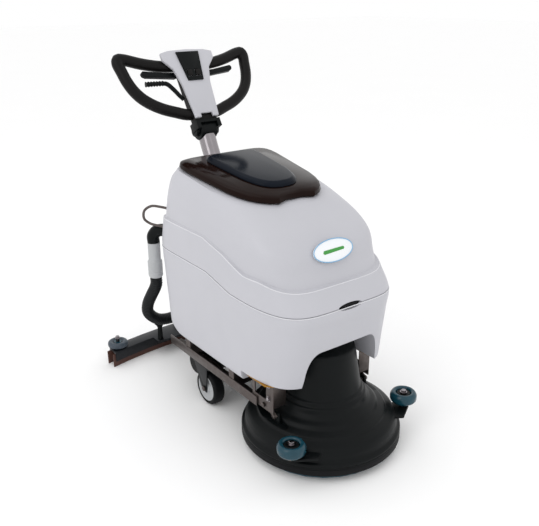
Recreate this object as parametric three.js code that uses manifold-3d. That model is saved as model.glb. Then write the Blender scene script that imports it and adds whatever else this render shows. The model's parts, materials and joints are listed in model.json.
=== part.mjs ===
// Walk-behind floor scrubber with a round brush deck. Millimetres, +Z up, front towards -Y.
// Every piece is placed from the brush axis, then the whole machine is moved so that its origin
// is the centre of its footprint on the floor.
import * as THREE from 'three';
import { mergeVertices } from 'three/addons/utils/BufferGeometryUtils.js';
import Module from 'manifold-3d';

const wasm = await Module();
wasm.setup();

// ---- Driving dimensions -------------------------------------------------------------------
const GAP = 0.3; // between pieces that rest on each other
const FIT = 1.0; // around pins, axles and other running fits

const DECK_RADIUS = 255;
const BRUSH_RADIUS = 228;
const DECK_LIFT_CLEARANCE = 30; // from the deck's top to the roof of the arch
const SKIRT_BOTTOM = 24;

const BODY_HALF = 235; // half-width of the tanks at their widest
const BODY_FRONT = -120; // nose of the tanks
const BODY_REAR = 622; // tail of the tanks
const BODY_BOTTOM = 230;
const LEG_BOTTOM = 262; // the two front legs stop higher, over their brackets
const LEG_REAR = 112;
const BODY_WALL = 6;
const PARTING_FRONT = 500; // joint line between the two tanks, at the nose
const PARTING_REAR = 536; // and behind the step in it
const PARTING_GAP = 2;
const CREASE_FRONT = 572; // top of the raised band round the upper tank, at the nose
const CREASE_REAR = 641;
const TOP_FRONT = { y: 128, z: 756 };
const TOP_REAR = { y: 541, z: 812 };

const ARCH_HALF = 138; // opening for the brush motor
const ARCH_TOP = 372;
const ARCH_CORNER = 46;
const ARCH_DEPTH = 165; // how far back the opening reaches behind the brush axis

const FRAME_HALF = 206; // outer face of the side rails
const WHEEL_HEADROOM = 25; // from the wheels' crown to the underside of the frame
const RAIL_HEIGHT = 32;
const RAIL_FRONT = 66;
const RAIL_REAR = 600;
const STEEL = 4; // thickness of folded plates

const WHEEL_RADIUS = 62.5;
const FRAME_BOTTOM = 2 * WHEEL_RADIUS + WHEEL_HEADROOM;
const WHEEL_WIDTH = 44;
const WHEEL_Y = 378;
const WHEEL_X = 179; // centre of each fixed wheel
const AXLE_RADIUS = 6;
const PIN = 5; // radius of the linkage pins
const PEDAL_X = 130;
const TAIL_WHEEL_RADIUS = 37.5;
const TAIL_WHEEL_WIDTH = 26;
const TAIL_WHEEL_Y = 640;

const LINK_LENGTH = 47;
const LINK_TOP = { y: 37, z: 167 };
const LINK_DROP = 24; // the lower pin sits this much below the upper one
const REAR_LINK_Y = 178; // upper pins of the rear links

const BUMPER_OVERHANG = 15.97; // from the deck's rim to the centre of a corner roller
const BUMPER_BEARING = THREE.MathUtils.degToRad(31.11);
const BUMPER_Z = 124;
const BUMPER_RADIUS = 43;

const TUBE_RADIUS = 30;
const TUBE_LEAN = THREE.MathUtils.degToRad(25);
const TUBE_POINT = { y: 645, z: 900 }; // where the column meets the handle head
const HANDLE_LEAN = THREE.MathUtils.degToRad(32);
const HANDLE_ORIGIN = { y: 645, z: 930 };
const HANDLE_BAR = 20; // radius of the handle's bars

const SQUEEGEE_HALF = 350;
const SQUEEGEE_Y = 868; // middle of the squeegee
const SQUEEGEE_ENDS = 828; // its ends curve forward to here
const SQUEEGEE_PIVOT = { y: 778, z: 128 };
const HOSE_RADIUS = 22;

const SQUEEGEE_DEPTH = { front: 24, rear: 32 };
const SQUEEGEE_LIFT = { y: 616, z: 172 };

const COLUMN_Y = 586; // upright part of the column
const COLUMN_BEND = 742; // height where it starts to lean
const COLUMN_FOOT = FRAME_BOTTOM + 12;
const COLUMN_END = 14; // the tube stops this much short of the tilt line
const HEAD_AXIS = { y: 641.5, z: 899 }; // the handle head tilts about this line
const HEAD_HUB = 19;

const ORIGIN_Y = (SQUEEGEE_Y + SQUEEGEE_DEPTH.rear - DECK_RADIUS) / 2;

// ---- Places worked out from the driving dimensions ---------------------------------------------
const BUMPER_X = (DECK_RADIUS + BUMPER_OVERHANG) * Math.cos(BUMPER_BEARING);
const BUMPER_Y = -(DECK_RADIUS + BUMPER_OVERHANG) * Math.sin(BUMPER_BEARING);
const FRAME_TOP = BODY_BOTTOM - GAP;
const RAIL_TOP = FRAME_BOTTOM + RAIL_HEIGHT;
const HOOD_TOP = ARCH_TOP - DECK_LIFT_CLEARANCE;
const LINK_RUN = Math.sqrt(LINK_LENGTH ** 2 - LINK_DROP ** 2);
const LINK_LOW = { y: LINK_TOP.y - LINK_RUN, z: LINK_TOP.z - LINK_DROP };
const REAR_LINK_LOW = { y: REAR_LINK_Y - LINK_RUN, z: LINK_LOW.z };
const BRACKET = { front: -12, rear: 96, bottom: FRAME_BOTTOM + STEEL + GAP, top: LEG_BOTTOM - GAP };
const TANK_FLOOR = PARTING_REAR + PARTING_GAP + BODY_WALL + GAP;
const TAIL_CROWN = 2 * TAIL_WHEEL_RADIUS + 16;
const MOUTH_Y = 350;
const LID_MOUTH = 128;
const MOUTH_LIP = 9;
const GASKET_HEIGHT = 19.6;
const DOME = { half: 108, front: 184, rear: 502, height: 17 };
const BADGE = { y: BODY_FRONT + 82, z: 648, half: 75, tall: 34, lean: -0.42 };
const FLOAT_Y = 430;
const HOSE_TOP = { x: -(BODY_HALF - 13), y: BODY_REAR + 32 };
const ELBOW_END = PARTING_REAR - 8;
const CUFF_END = 398;
const DRAIN = { x: 150, y: BODY_REAR + 1, z: 572 };

// ---- Solids ------------------------------------------------------------------------------
function toSolid(geometry) {
  const bare = geometry.clone();
  bare.deleteAttribute('normal');
  bare.deleteAttribute('uv');
  const merged = mergeVertices(bare, 1e-4);
  const place = merged.attributes.position;
  const index = Uint32Array.from(merged.index.array);
  const [a, b, c] = [new THREE.Vector3(), new THREE.Vector3(), new THREE.Vector3()];
  let volume = 0;
  for (let i = 0; i < index.length; i += 3) {
    a.fromBufferAttribute(place, index[i]);
    b.fromBufferAttribute(place, index[i + 1]);
    c.fromBufferAttribute(place, index[i + 2]);
    volume += a.dot(b.cross(c));
  }
  if (volume < 0) index.reverse(); // turns every face outwards
  return new wasm.Manifold(new wasm.Mesh({
    numProp: 3,
    vertProperties: Float32Array.from(place.array),
    triVerts: index,
  }));
}

function toGeometry(solid) {
  const mesh = solid.asOriginal().simplify(0.05).getMesh();
  const geometry = new THREE.BufferGeometry();
  geometry.setAttribute('position', new THREE.BufferAttribute(Float32Array.from(mesh.vertProperties), 3));
  geometry.setIndex(new THREE.BufferAttribute(Uint32Array.from(mesh.triVerts), 1));
  geometry.computeVertexNormals();
  return geometry;
}

const join = (...solids) => solids.reduce((a, b) => a.add(b));
const cut = (solid, ...tools) => tools.reduce((a, b) => a.subtract(b), solid);

// Box from its lowest to its highest corner.
function box(x0, x1, y0, y1, z0, z1) {
  const geometry = new THREE.BoxGeometry(x1 - x0, y1 - y0, z1 - z0);
  geometry.translate((x0 + x1) / 2, (y0 + y1) / 2, (z0 + z1) / 2);
  return toSolid(geometry);
}

// Cylinder along X, Y or Z through a centre.
function rod(axis, radius, length, [x, y, z], sides = 20) {
  const geometry = new THREE.CylinderGeometry(radius, radius, length, sides);
  if (axis === 'x') geometry.rotateZ(Math.PI / 2);
  if (axis === 'z') geometry.rotateX(Math.PI / 2);
  geometry.translate(x, y, z);
  return toSolid(geometry);
}

// Turned piece: profile points [radius, height], about X or Z through a centre.
function turned(axis, profile, [x, y, z], sides = 32) {
  const geometry = new THREE.LatheGeometry(profile.map(([r, h]) => new THREE.Vector2(r, h)), sides);
  if (axis === 'z') geometry.rotateX(Math.PI / 2);
  if (axis === 'x') geometry.rotateZ(-Math.PI / 2);
  geometry.translate(x, y, z);
  return toSolid(geometry);
}

// Plate cut from points in the YZ plane, between two X values.
function sidePlate(points, x0, x1) {
  const geometry = new THREE.ExtrudeGeometry(
    shapeOf(points), { depth: x1 - x0, bevelEnabled: false, curveSegments: 8 },
  );
  geometry.applyMatrix4(new THREE.Matrix4().set(0, 0, 1, x0, 1, 0, 0, 0, 0, 1, 0, 0, 0, 0, 0, 1));
  return toSolid(geometry);
}

// Plate cut from points in the XZ plane, between two Y values.
function frontPlate(points, y0, y1) {
  const geometry = new THREE.ExtrudeGeometry(
    shapeOf(points), { depth: y1 - y0, bevelEnabled: false, curveSegments: 8 },
  );
  geometry.applyMatrix4(new THREE.Matrix4().set(1, 0, 0, 0, 0, 0, -1, y1, 0, 1, 0, 0, 0, 0, 0, 1));
  return toSolid(geometry);
}

// Plate cut from points in the XY plane, between two Z values.
function flatPlate(points, z0, z1) {
  const geometry = new THREE.ExtrudeGeometry(
    shapeOf(points), { depth: z1 - z0, bevelEnabled: false, curveSegments: 8 },
  );
  geometry.translate(0, 0, z0);
  return toSolid(geometry);
}

function shapeOf(points) {
  return points instanceof THREE.Shape ? points : new THREE.Shape(points.map(([a, b]) => new THREE.Vector2(
    a, b,
  )));
}

function ellipse(radiusA, radiusB, count) {
  return Array.from({ length: count }, (_, i) => {
    const turn = (i / count) * 2 * Math.PI;
    return [radiusA * Math.cos(turn), radiusB * Math.sin(turn)];
  });
}

// Tube of an elliptical section along a smooth path of [x, y, z] points.
function sweep(points, radiusA, radiusB, steps, sides = 10, closed = false) {
  const curve = new THREE.CatmullRomCurve3(
    points.map((p) => new THREE.Vector3(...p)), closed, 'centripetal',
  );
  const geometry = new THREE.ExtrudeGeometry(shapeOf(ellipse(radiusA, radiusB, sides)), {
    steps,
    extrudePath: curve,
    bevelEnabled: false,
  });
  return toSolid(geometry);
}

// Closed skin through rings that hold the same number of [x, y, z] points, lowest ring first.
function loft(rings) {
  const count = rings[0].length;
  const positions = rings.flat(2);
  const index = [];
  rings.slice(1).forEach((_, level) => {
    for (let i = 0; i < count; i += 1) {
      const a = level * count + i;
      const b = level * count + ((i + 1) % count);
      index.push(a, b, b + count, a, b + count, a + count);
    }
  });
  const last = (rings.length - 1) * count;
  for (let i = 1; i < count - 1; i += 1) {
    index.push(0, i + 1, i);
    index.push(last, last + i, last + i + 1);
  }
  const geometry = new THREE.BufferGeometry();
  geometry.setAttribute('position', new THREE.Float32BufferAttribute(positions, 3));
  geometry.setIndex(index);
  return toSolid(geometry);
}

// Rounded plan outline: a superellipse whose front and rear halves have their own squareness.
function planRing({ yf, zf, yr, zr, half, nose = 5 }, inset = 0, tail = 9, count = 32) {
  const y0 = yf + inset;
  const y1 = yr - inset;
  const middle = y0 + (y1 - y0) * 0.55;
  return Array.from({ length: count }, (_, i) => {
    const turn = (i / count) * 2 * Math.PI;
    const c = Math.cos(turn);
    const s = Math.sin(turn);
    const power = s < 0 ? nose : tail;
    const reach = s < 0 ? middle - y0 : y1 - middle;
    const x = (half - inset) * Math.sign(c) * Math.abs(c) ** (2 / power);
    const y = middle + reach * Math.sign(s) * Math.abs(s) ** (2 / power);
    return [x, y, zf + ((zr - zf) * (y - yf)) / (yr - yf)];
  });
}

// ---- Tanks -------------------------------------------------------------------------------
// Levels of the wide skin (lower tank and raised band) and of the narrower skin above the band.
const wideLevels = [
  { yf: BODY_FRONT + 44, zf: BODY_BOTTOM, yr: BODY_REAR - 40, zr: BODY_BOTTOM, half: BODY_HALF - 12 },
  {
    yf: BODY_FRONT + 32,
    zf: BODY_BOTTOM + 14,
    yr: BODY_REAR - 34,
    zr: BODY_BOTTOM + 10,
    half: BODY_HALF - 5,
  },
  { yf: BODY_FRONT + 18, zf: 350, yr: BODY_REAR - 20, zr: 360, half: BODY_HALF - 2 },
  { yf: BODY_FRONT + 6, zf: 440, yr: BODY_REAR - 8, zr: 460, half: BODY_HALF - 1 },
  { yf: BODY_FRONT, zf: 500, yr: BODY_REAR, zr: 548, half: BODY_HALF },
  { yf: BODY_FRONT + 42, zf: 562, yr: BODY_REAR - 10, zr: 600, half: BODY_HALF - 1 },
  { yf: BODY_FRONT + 80, zf: 640, yr: BODY_REAR - 22, zr: 668, half: BODY_HALF - 4 },
];
const narrowLevels = [
  { yf: BODY_FRONT + 14, zf: 470, yr: BODY_REAR - 10, zr: 530, half: BODY_HALF - 10 },
  { yf: BODY_FRONT + 52, zf: 554, yr: BODY_REAR - 18, zr: 600, half: BODY_HALF - 10 },
  { yf: BODY_FRONT + 72, zf: 600, yr: BODY_REAR - 30, zr: 660, half: BODY_HALF - 9 },
  { yf: BODY_FRONT + 93, zf: 656, yr: BODY_REAR - 46, zr: 722, half: BODY_HALF - 10 },
  { yf: BODY_FRONT + 140, zf: 694, yr: BODY_REAR - 56, zr: 765, half: BODY_HALF - 17 },
  { yf: BODY_FRONT + 190, zf: 722, yr: BODY_REAR - 66, zr: 790, half: BODY_HALF - 24, nose: 4 },
  { yf: BODY_FRONT + 228, zf: 744, yr: BODY_REAR - 74, zr: 804, half: BODY_HALF - 34, nose: 3.2 },
  {
    yf: TOP_FRONT.y,
    zf: TOP_FRONT.z,
    yr: TOP_REAR.y + 6,
    zr: TOP_REAR.z + 1,
    half: BODY_HALF - 44,
    nose: 2.8,
  },
];

const skin = (levels, inset) => loft(levels.map((level) => planRing(level, inset)));

const FAR = 2000;

// Everything above the stepped joint line, raised by an offset.
function abovePath(path, offset) {
  const line = path.map(([y, z]) => [y, z + offset]);
  return sidePlate(
    [[-FAR, line[0][1]], ...line, [FAR, line.at(-1)[1]], [FAR, FAR], [-FAR, FAR]], -FAR, FAR,
  );
}

const parting = [
  [60, PARTING_FRONT],
  [227, PARTING_FRONT + 6],
  [289, PARTING_REAR],
];
const crease = [
  [-90, CREASE_FRONT - 18],
  [20, CREASE_FRONT + 8],
  [90, CREASE_FRONT + 8],
  [196, CREASE_REAR - 22],
  [262, CREASE_REAR],
];

// Upright channel in the tail of both tanks for the column.
const COLUMN_ROOM = TUBE_RADIUS + 13;
const columnRecess = () => box(-COLUMN_ROOM, COLUMN_ROOM, COLUMN_Y - COLUMN_ROOM, FAR, 0, FAR);

function archTool(grow) {
  const half = ARCH_HALF + grow;
  const top = ARCH_TOP + grow;
  const corner = ARCH_CORNER + grow;
  const shape = new THREE.Shape();
  shape.moveTo(-half - 26, BODY_BOTTOM - 60);
  shape.lineTo(half + 26, BODY_BOTTOM - 60);
  shape.lineTo(half + 6, top - corner - 40);
  shape.quadraticCurveTo(half - 2, top, half - corner, top);
  shape.lineTo(-half + corner, top);
  shape.quadraticCurveTo(-half + 2, top, -half - 6, top - corner - 40);
  return frontPlate(shape, -FAR, ARCH_DEPTH + grow);
}

const BATTERY_BAY = { half: 128, front: 250, rear: 470, floor: 250 };

function solutionTank() {
  const whole = cut(skin(wideLevels, 0), abovePath(parting, 0), archTool(0), columnRecess());
  const tailCut = sidePlate(
    [[470, BODY_BOTTOM - 5], [590, 279], [FAR, 279], [FAR, 0], [470, 0]], -FAR, FAR,
  );
  const pocket = cut(
    skin(wideLevels, BODY_WALL),
    abovePath(parting, -BODY_WALL),
    archTool(BODY_WALL),
    box(-FAR, FAR, -FAR, FAR, 0, BODY_BOTTOM + BODY_WALL),
    box(-FAR, FAR, -FAR, LEG_REAR + BODY_WALL, 0, LEG_BOTTOM + BODY_WALL),
    box(
      -BATTERY_BAY.half - BODY_WALL,
      BATTERY_BAY.half + BODY_WALL,
      BATTERY_BAY.front - BODY_WALL,
      FAR,
      0,
      FAR,
    ),
  );
  const bay = box(
    -BATTERY_BAY.half, BATTERY_BAY.half, BATTERY_BAY.front, BATTERY_BAY.rear, BATTERY_BAY.floor, 900,
  );
  const filler = rod('z', 38, 60, [0, 200, PARTING_FRONT], 20);
  const legEnds = box(-FAR, FAR, -FAR, LEG_REAR, 0, LEG_BOTTOM);
  return cut(whole, tailCut, pocket, bay, filler, legEnds);
}

function recoveryTank() {
  const keep = abovePath(parting, PARTING_GAP);
  const band = cut(skin(wideLevels, 0).intersect(keep), abovePath(crease, 0));
  const upper = skin(narrowLevels, 0).intersect(keep);
  const inside = cut(
    skin(narrowLevels, BODY_WALL + 2).intersect(abovePath(parting, BODY_WALL + PARTING_GAP)),
    sidePlate(
      [[TOP_FRONT.y - 60, TOP_FRONT.z - 16], [TOP_REAR.y + 60, TOP_REAR.z - 4], [FAR, FAR], [-FAR, FAR]],
      -FAR,
      FAR,
    ),
    box(-COLUMN_ROOM - BODY_WALL, COLUMN_ROOM + BODY_WALL, COLUMN_Y - COLUMN_ROOM - BODY_WALL, FAR, 0, FAR),
  );
  const mouth = rod('z', LID_MOUTH, 400, [0, MOUTH_Y, 900], 32);
  const slot = rod('y', 20, 24, [0, BODY_FRONT, PARTING_FRONT - 8], 20);
  return cut(join(band, upper), inside, mouth, slot, columnRecess());
}

// ---- Lid ---------------------------------------------------------------------------------
const LID_SLOPE = Math.atan2(TOP_REAR.z - TOP_FRONT.z, TOP_REAR.y - TOP_FRONT.y);
const LID = { front: 118, rear: 548, half: 196, thick: 27 };
const LID_HINGE = { y: TOP_REAR.y + 4, z: TOP_REAR.z + 10 };

// Pear-shaped outline of the lid, drawn in at the nose and notched there for a fingertip.
function lidOutline(inset, notch) {
  const steps = 30;
  const length = LID.rear - LID.front;
  return Array.from({ length: steps }, (_, i) => {
    const turn = (i / steps) * 2 * Math.PI;
    const s = Math.sin(turn);
    const c = Math.cos(turn);
    const power = s < 0 ? 2.7 : 7;
    const along = 0.5 + 0.5 * Math.sign(s) * Math.abs(s) ** (2 / power);
    const taper = 0.83 + 0.17 * along ** 1.5;
    const x = (LID.half - inset) * taper * Math.sign(c) * Math.abs(c) ** (2 / power);
    const dent = notch && s < -0.9 && Math.abs(x) < 50 ? 22 : 0;
    return [x, LID.front + inset + (length - 2 * inset) * along + dent];
  });
}

const onTop = (y) => TOP_FRONT.z + (y - TOP_FRONT.y) * Math.tan(LID_SLOPE);

function lidRing(inset, lift, notch) {
  return lidOutline(inset, notch).map(([x, y]) => [x, y, onTop(y) + lift]);
}

function lidBody() {
  const shell = loft(
    [
      lidRing(6, 2, true),
      lidRing(0, 9, true),
      lidRing(3, LID.thick - 6, true),
      lidRing(16, LID.thick, true),
    ],
  );
  const under = loft([lidRing(30, -20, false), lidRing(34, LID.thick - 6, false)]);
  const knuckle = rod('x', 7, 120, [0, LID_HINGE.y, LID_HINGE.z], 12);
  return join(cut(shell, under), knuckle);
}

// Raised window in the middle of the lid.
function lidDome() {
  const length = LID.rear - LID.front;
  const ring = (inset, lift) => lidOutline(0, false).map(([x, y]) => {
    const px = (x * (DOME.half - inset)) / LID.half;
    const py = DOME.front + inset + ((y - LID.front) * (DOME.rear - DOME.front - 2 * inset)) / length;
    return [px, py, onTop(py) + LID.thick + lift];
  });
  return loft([ring(0, GAP), ring(2, DOME.height * 0.55), ring(14, DOME.height)]);
}

function lidGasket() {
  const ring = cut(
    rod('z', LID_MOUTH + 16, 60, [0, MOUTH_Y, onTop(MOUTH_Y)], 32),
    rod('z', LID_MOUTH + MOUTH_LIP, 80, [0, MOUTH_Y, onTop(MOUTH_Y)], 32),
  );
  const slab = sidePlate(
    [
      [-100, onTop(-100) + 2],
      [900, onTop(900) + 2],
      [900, onTop(900) + GASKET_HEIGHT],
      [-100, onTop(-100) + GASKET_HEIGHT],
    ],
    -300,
    300,
  );
  return ring.intersect(slab);
}

function badge() {
  const geometry = new THREE.CylinderGeometry(1, 1, 4, 40);
  geometry.scale(BADGE.half, 1, BADGE.tall);
  geometry.rotateX(BADGE.lean);
  geometry.translate(0, BADGE.y, BADGE.z);
  return toSolid(geometry);
}

// ---- Inside the recovery tank, and on its tail -------------------------------------------------
function floatCage() {
  const top = TANK_FLOOR + 190;
  const floor = TANK_FLOOR;
  const post = (x, y) => box(x - 3, x + 3, y - 3, y + 3, floor, top);
  const ring = (z) => cut(rod('z', 34, 6, [0, FLOAT_Y, z], 14), rod('z', 26, 10, [0, FLOAT_Y, z], 14));
  return join(
    ring(floor + 3 + GAP),
    ring(top - 3),
    post(30, FLOAT_Y),
    post(-30, FLOAT_Y),
    post(0, FLOAT_Y + 30),
    post(0, FLOAT_Y - 30),
  );
}

const floatBall = () => toSolid(new THREE.SphereGeometry(24, 12, 8).translate(0, FLOAT_Y, TANK_FLOOR + 25));

const tankSkin = () => join(
  skin(wideLevels, -GAP).subtract(abovePath(crease, GAP)), skin(narrowLevels, -GAP),
);

function tankElbow() {
  const { x, y } = HOSE_TOP;
  const route = [
    [x, y, ELBOW_END], [x, y, ELBOW_END + 24], [x + 12, y - 14, ELBOW_END + 44],
    [x + 62, y - 74, ELBOW_END + 46],
  ];
  return sweep(route, HOSE_RADIUS, HOSE_RADIUS, 9, 14).subtract(tankSkin());
}

// Bent wire that the drain hose hangs from.
function hoseHook() {
  const x = -BODY_HALF + 20;
  const y = BODY_REAR;
  const route = [
    [x + 18, y - 90, 668], [x - 2, y - 30, 670], [x - 22, y + 6, 668], [x - 39, y + 24, 650],
    [x - 40, y + 26, 622], [x - 26, y + 14, 606], [x - 4, y - 30, 602], [x + 18, y - 90, 604],
  ];
  return sweep(route, 4.5, 4.5, 18, 8).subtract(tankSkin());
}

const drainCap = () => turned(
  'z',
  [[0, 0], [30, 0], [32, 4], [32, 20], [27, 24], [0, 24]],
  [0, 0, 0],
  24,
).rotate([-90, 0, 0]).translate([DRAIN.x, DRAIN.y, DRAIN.z]);

// ---- Chassis ----------------------------------------------------------------------------
function chassisFrame() {
  const rail = (side) => {
    const outer = side * FRAME_HALF;
    const inner = side * (FRAME_HALF - STEEL);
    const web = box(
      Math.min(outer, inner), Math.max(outer, inner), RAIL_FRONT, RAIL_REAR, FRAME_BOTTOM, RAIL_TOP,
    );
    const lip = side * (FRAME_HALF - 44);
    const flange = box(
      Math.min(outer, lip), Math.max(outer, lip), RAIL_FRONT, RAIL_REAR, FRAME_BOTTOM, FRAME_BOTTOM + STEEL,
    );
    return join(web, flange);
  };
  const width = FRAME_HALF - STEEL + 1;
  const crossMember = (y) => box(-width, width, y - 14, y + 14, FRAME_BOTTOM + STEEL - 1, FRAME_TOP);
  const tray = box(-150, 150, ARCH_DEPTH + 30, 470, FRAME_TOP - STEEL, FRAME_TOP);
  const sleeve = rod('z', TUBE_RADIUS + 8, 90, [0, COLUMN_Y, COLUMN_FOOT + 35], 24);
  const bore = rod('z', TUBE_RADIUS + GAP, 200, [0, COLUMN_Y, COLUMN_FOOT + 100], 28);
  const spine = box(-40, 40, 440, TAIL_WHEEL_Y + 40, FRAME_BOTTOM, FRAME_BOTTOM + 12);
  const rearCross = box(-120, 120, 586, 600, FRAME_BOTTOM, FRAME_BOTTOM + 26);
  const ear = (x) => box(x - 4, x + 4, 592, SQUEEGEE_LIFT.y + 14, FRAME_BOTTOM, SQUEEGEE_LIFT.z + 14);
  const hangers = [-1, 1].map(
    (side) => box(
      side * 96 - 4, side * 96 + 4, REAR_LINK_Y - 12, REAR_LINK_Y + 40, LINK_TOP.z - 12, FRAME_TOP,
    ),
  );
  const whole = join(
    rail(1), rail(-1), crossMember(ARCH_DEPTH + 44), crossMember(480), tray, spine, sleeve, rearCross,
    ear(60), ear(-60), ear(PEDAL_X - 10), ...hangers,
  );
  return cut(
    whole,
    bore,
    rod('x', PIN + FIT / 2, 500, [0, SQUEEGEE_LIFT.y, SQUEEGEE_LIFT.z], 16),
    rod('x', PIN + FIT / 2, 300, [0, REAR_LINK_Y, LINK_TOP.z], 16),
  );
}

// Bent tube of the column, from its foot to the hub of the handle head.
function columnTube() {
  const lean = [0, Math.sin(TUBE_LEAN), Math.cos(TUBE_LEAN)];
  const back = (d) => [0, HEAD_AXIS.y - lean[1] * d, HEAD_AXIS.z - lean[2] * d];
  const route = (extra) => [
    [0, COLUMN_Y, COLUMN_FOOT + GAP - extra], [0, COLUMN_Y, 400], [0, COLUMN_Y, COLUMN_BEND - 40],
    [0, COLUMN_Y + 1, COLUMN_BEND], back(110), back(60), back(COLUMN_END - extra),
  ];
  const wall = 2.5;
  return cut(
    sweep(route(0), TUBE_RADIUS, TUBE_RADIUS, 10, 16),
    sweep(route(10), TUBE_RADIUS - wall, TUBE_RADIUS - wall, 10, 12),
    rod('x', HEAD_HUB + FIT, 200, [0, HEAD_AXIS.y, HEAD_AXIS.z], 24),
  );
}

// Box bracket under each front leg, with a window in its side.
function legBracket(side) {
  const across = (a, b) => [side * a, side * b].sort((p, q) => p - q);
  const outer = FRAME_HALF - 6;
  const plate = [...across(outer, outer - STEEL), BRACKET.front, BRACKET.rear];
  const shelf = across(outer, FRAME_HALF - 54);
  const seat = across(outer, FRAME_HALF - STEEL - GAP);
  return cut(
    join(
      box(...plate, BRACKET.bottom, BRACKET.top),
      box(...shelf, BRACKET.front, BRACKET.rear, BRACKET.top - 3, BRACKET.top),
      box(...shelf, BRACKET.front, BRACKET.front + 3, BRACKET.bottom + 20, BRACKET.top),
      box(...seat, RAIL_FRONT + 2, BRACKET.rear, BRACKET.bottom, RAIL_TOP),
    ),
    box(
      ...across(outer + 30, outer - 30),
      BRACKET.front + 36,
      BRACKET.rear - 14,
      BRACKET.bottom + 36,
      BRACKET.top - 14,
    ),
    rod('x', PIN + FIT / 2, 100, [side * FRAME_HALF, LINK_TOP.y, LINK_TOP.z], 16),
  );
}

// ---- Wheels ------------------------------------------------------------------------------
function casterFork(side) {
  const x = side * WHEEL_X;
  const top = FRAME_BOTTOM - GAP;
  const arm = WHEEL_WIDTH / 2 + FIT + 1.5;
  const plate = box(x - 26, x + 26, WHEEL_Y - 34, WHEEL_Y + 68, top - 6, top);
  const cheek = (s) => sidePlate(
    [
      [WHEEL_Y - 20, top - 3], [WHEEL_Y + 62, top - 3], [WHEEL_Y + 14, WHEEL_RADIUS - 12],
      [WHEEL_Y - 14, WHEEL_RADIUS - 12],
    ],
    x + s * arm - 1.5,
    x + s * arm + 1.5,
  );
  return join(plate, cheek(1), cheek(-1)).subtract(
    rod('x', AXLE_RADIUS + FIT / 2, 100, [x, WHEEL_Y, WHEEL_RADIUS], 16),
  );
}

const casterAxle = (side) => join(
  rod('x', AXLE_RADIUS, WHEEL_WIDTH + 12, [side * WHEEL_X, WHEEL_Y, WHEEL_RADIUS], 16),
  rod('x', AXLE_RADIUS + 4, 5, [side * (WHEEL_X + WHEEL_WIDTH / 2 + 7), WHEEL_Y, WHEEL_RADIUS], 6),
);

const RIM_RADIUS = WHEEL_RADIUS - 15;

function wheelHub(side) {
  const w = WHEEL_WIDTH / 2;
  return turned(
    'x',
    [
      [AXLE_RADIUS + FIT / 2, -w], [18, -w], [20, -w + 8], [RIM_RADIUS - 6, -w + 8],
      [RIM_RADIUS - 4, -w + 1], [RIM_RADIUS, -w + 1], [RIM_RADIUS, w - 1],
      [RIM_RADIUS - 4, w - 1], [RIM_RADIUS - 6, w - 8], [20, w - 8],
      [18, w], [AXLE_RADIUS + FIT / 2, w], [AXLE_RADIUS + FIT / 2, -w],
    ],
    [side * WHEEL_X, WHEEL_Y, WHEEL_RADIUS],
    28,
  );
}

function tyre(x, y, z, inner, outer, width) {
  const w = width / 2;
  return turned(
    'x',
    [
      [inner, -w + 1], [inner, w - 1], [outer - 5, w], [outer, w - 6], [outer, -w + 6], [outer - 5, -w],
      [inner, -w + 1],
    ],
    [x, y, z],
    28,
  );
}

function tailFork() {
  const top = FRAME_BOTTOM - GAP;
  const arm = TAIL_WHEEL_WIDTH / 2 + 3;
  const axleY = TAIL_WHEEL_Y + 22;
  const cheek = (s) => sidePlate(
    [
      [TAIL_WHEEL_Y - 22, TAIL_CROWN], [TAIL_WHEEL_Y + 26, TAIL_CROWN],
      [axleY + 12, TAIL_WHEEL_RADIUS - 8], [axleY - 12, TAIL_WHEEL_RADIUS - 8],
    ],
    s * arm - 1.5,
    s * arm + 1.5,
  );
  return join(
    rod('z', 24, top - TAIL_CROWN + 4, [0, TAIL_WHEEL_Y, (top + TAIL_CROWN - 4) / 2], 20),
    box(-arm - 1.5, arm + 1.5, TAIL_WHEEL_Y - 22, TAIL_WHEEL_Y + 26, TAIL_CROWN - 4, TAIL_CROWN),
    cheek(1),
    cheek(-1),
    rod('x', 5, 2 * arm + 8, [0, axleY, TAIL_WHEEL_RADIUS], 12),
  );
}

function tailWheel() {
  const w = TAIL_WHEEL_WIDTH / 2;
  return turned(
    'x',
    [[5 + FIT / 2, -w], [
      TAIL_WHEEL_RADIUS - 4, -w,
    ], [TAIL_WHEEL_RADIUS, -w + 5], [TAIL_WHEEL_RADIUS, w - 5],
      [TAIL_WHEEL_RADIUS - 4, w], [5 + FIT / 2, w], [5 + FIT / 2, -w]],
    [0, TAIL_WHEEL_Y + 22, TAIL_WHEEL_RADIUS],
    28,
  );
}

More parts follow.
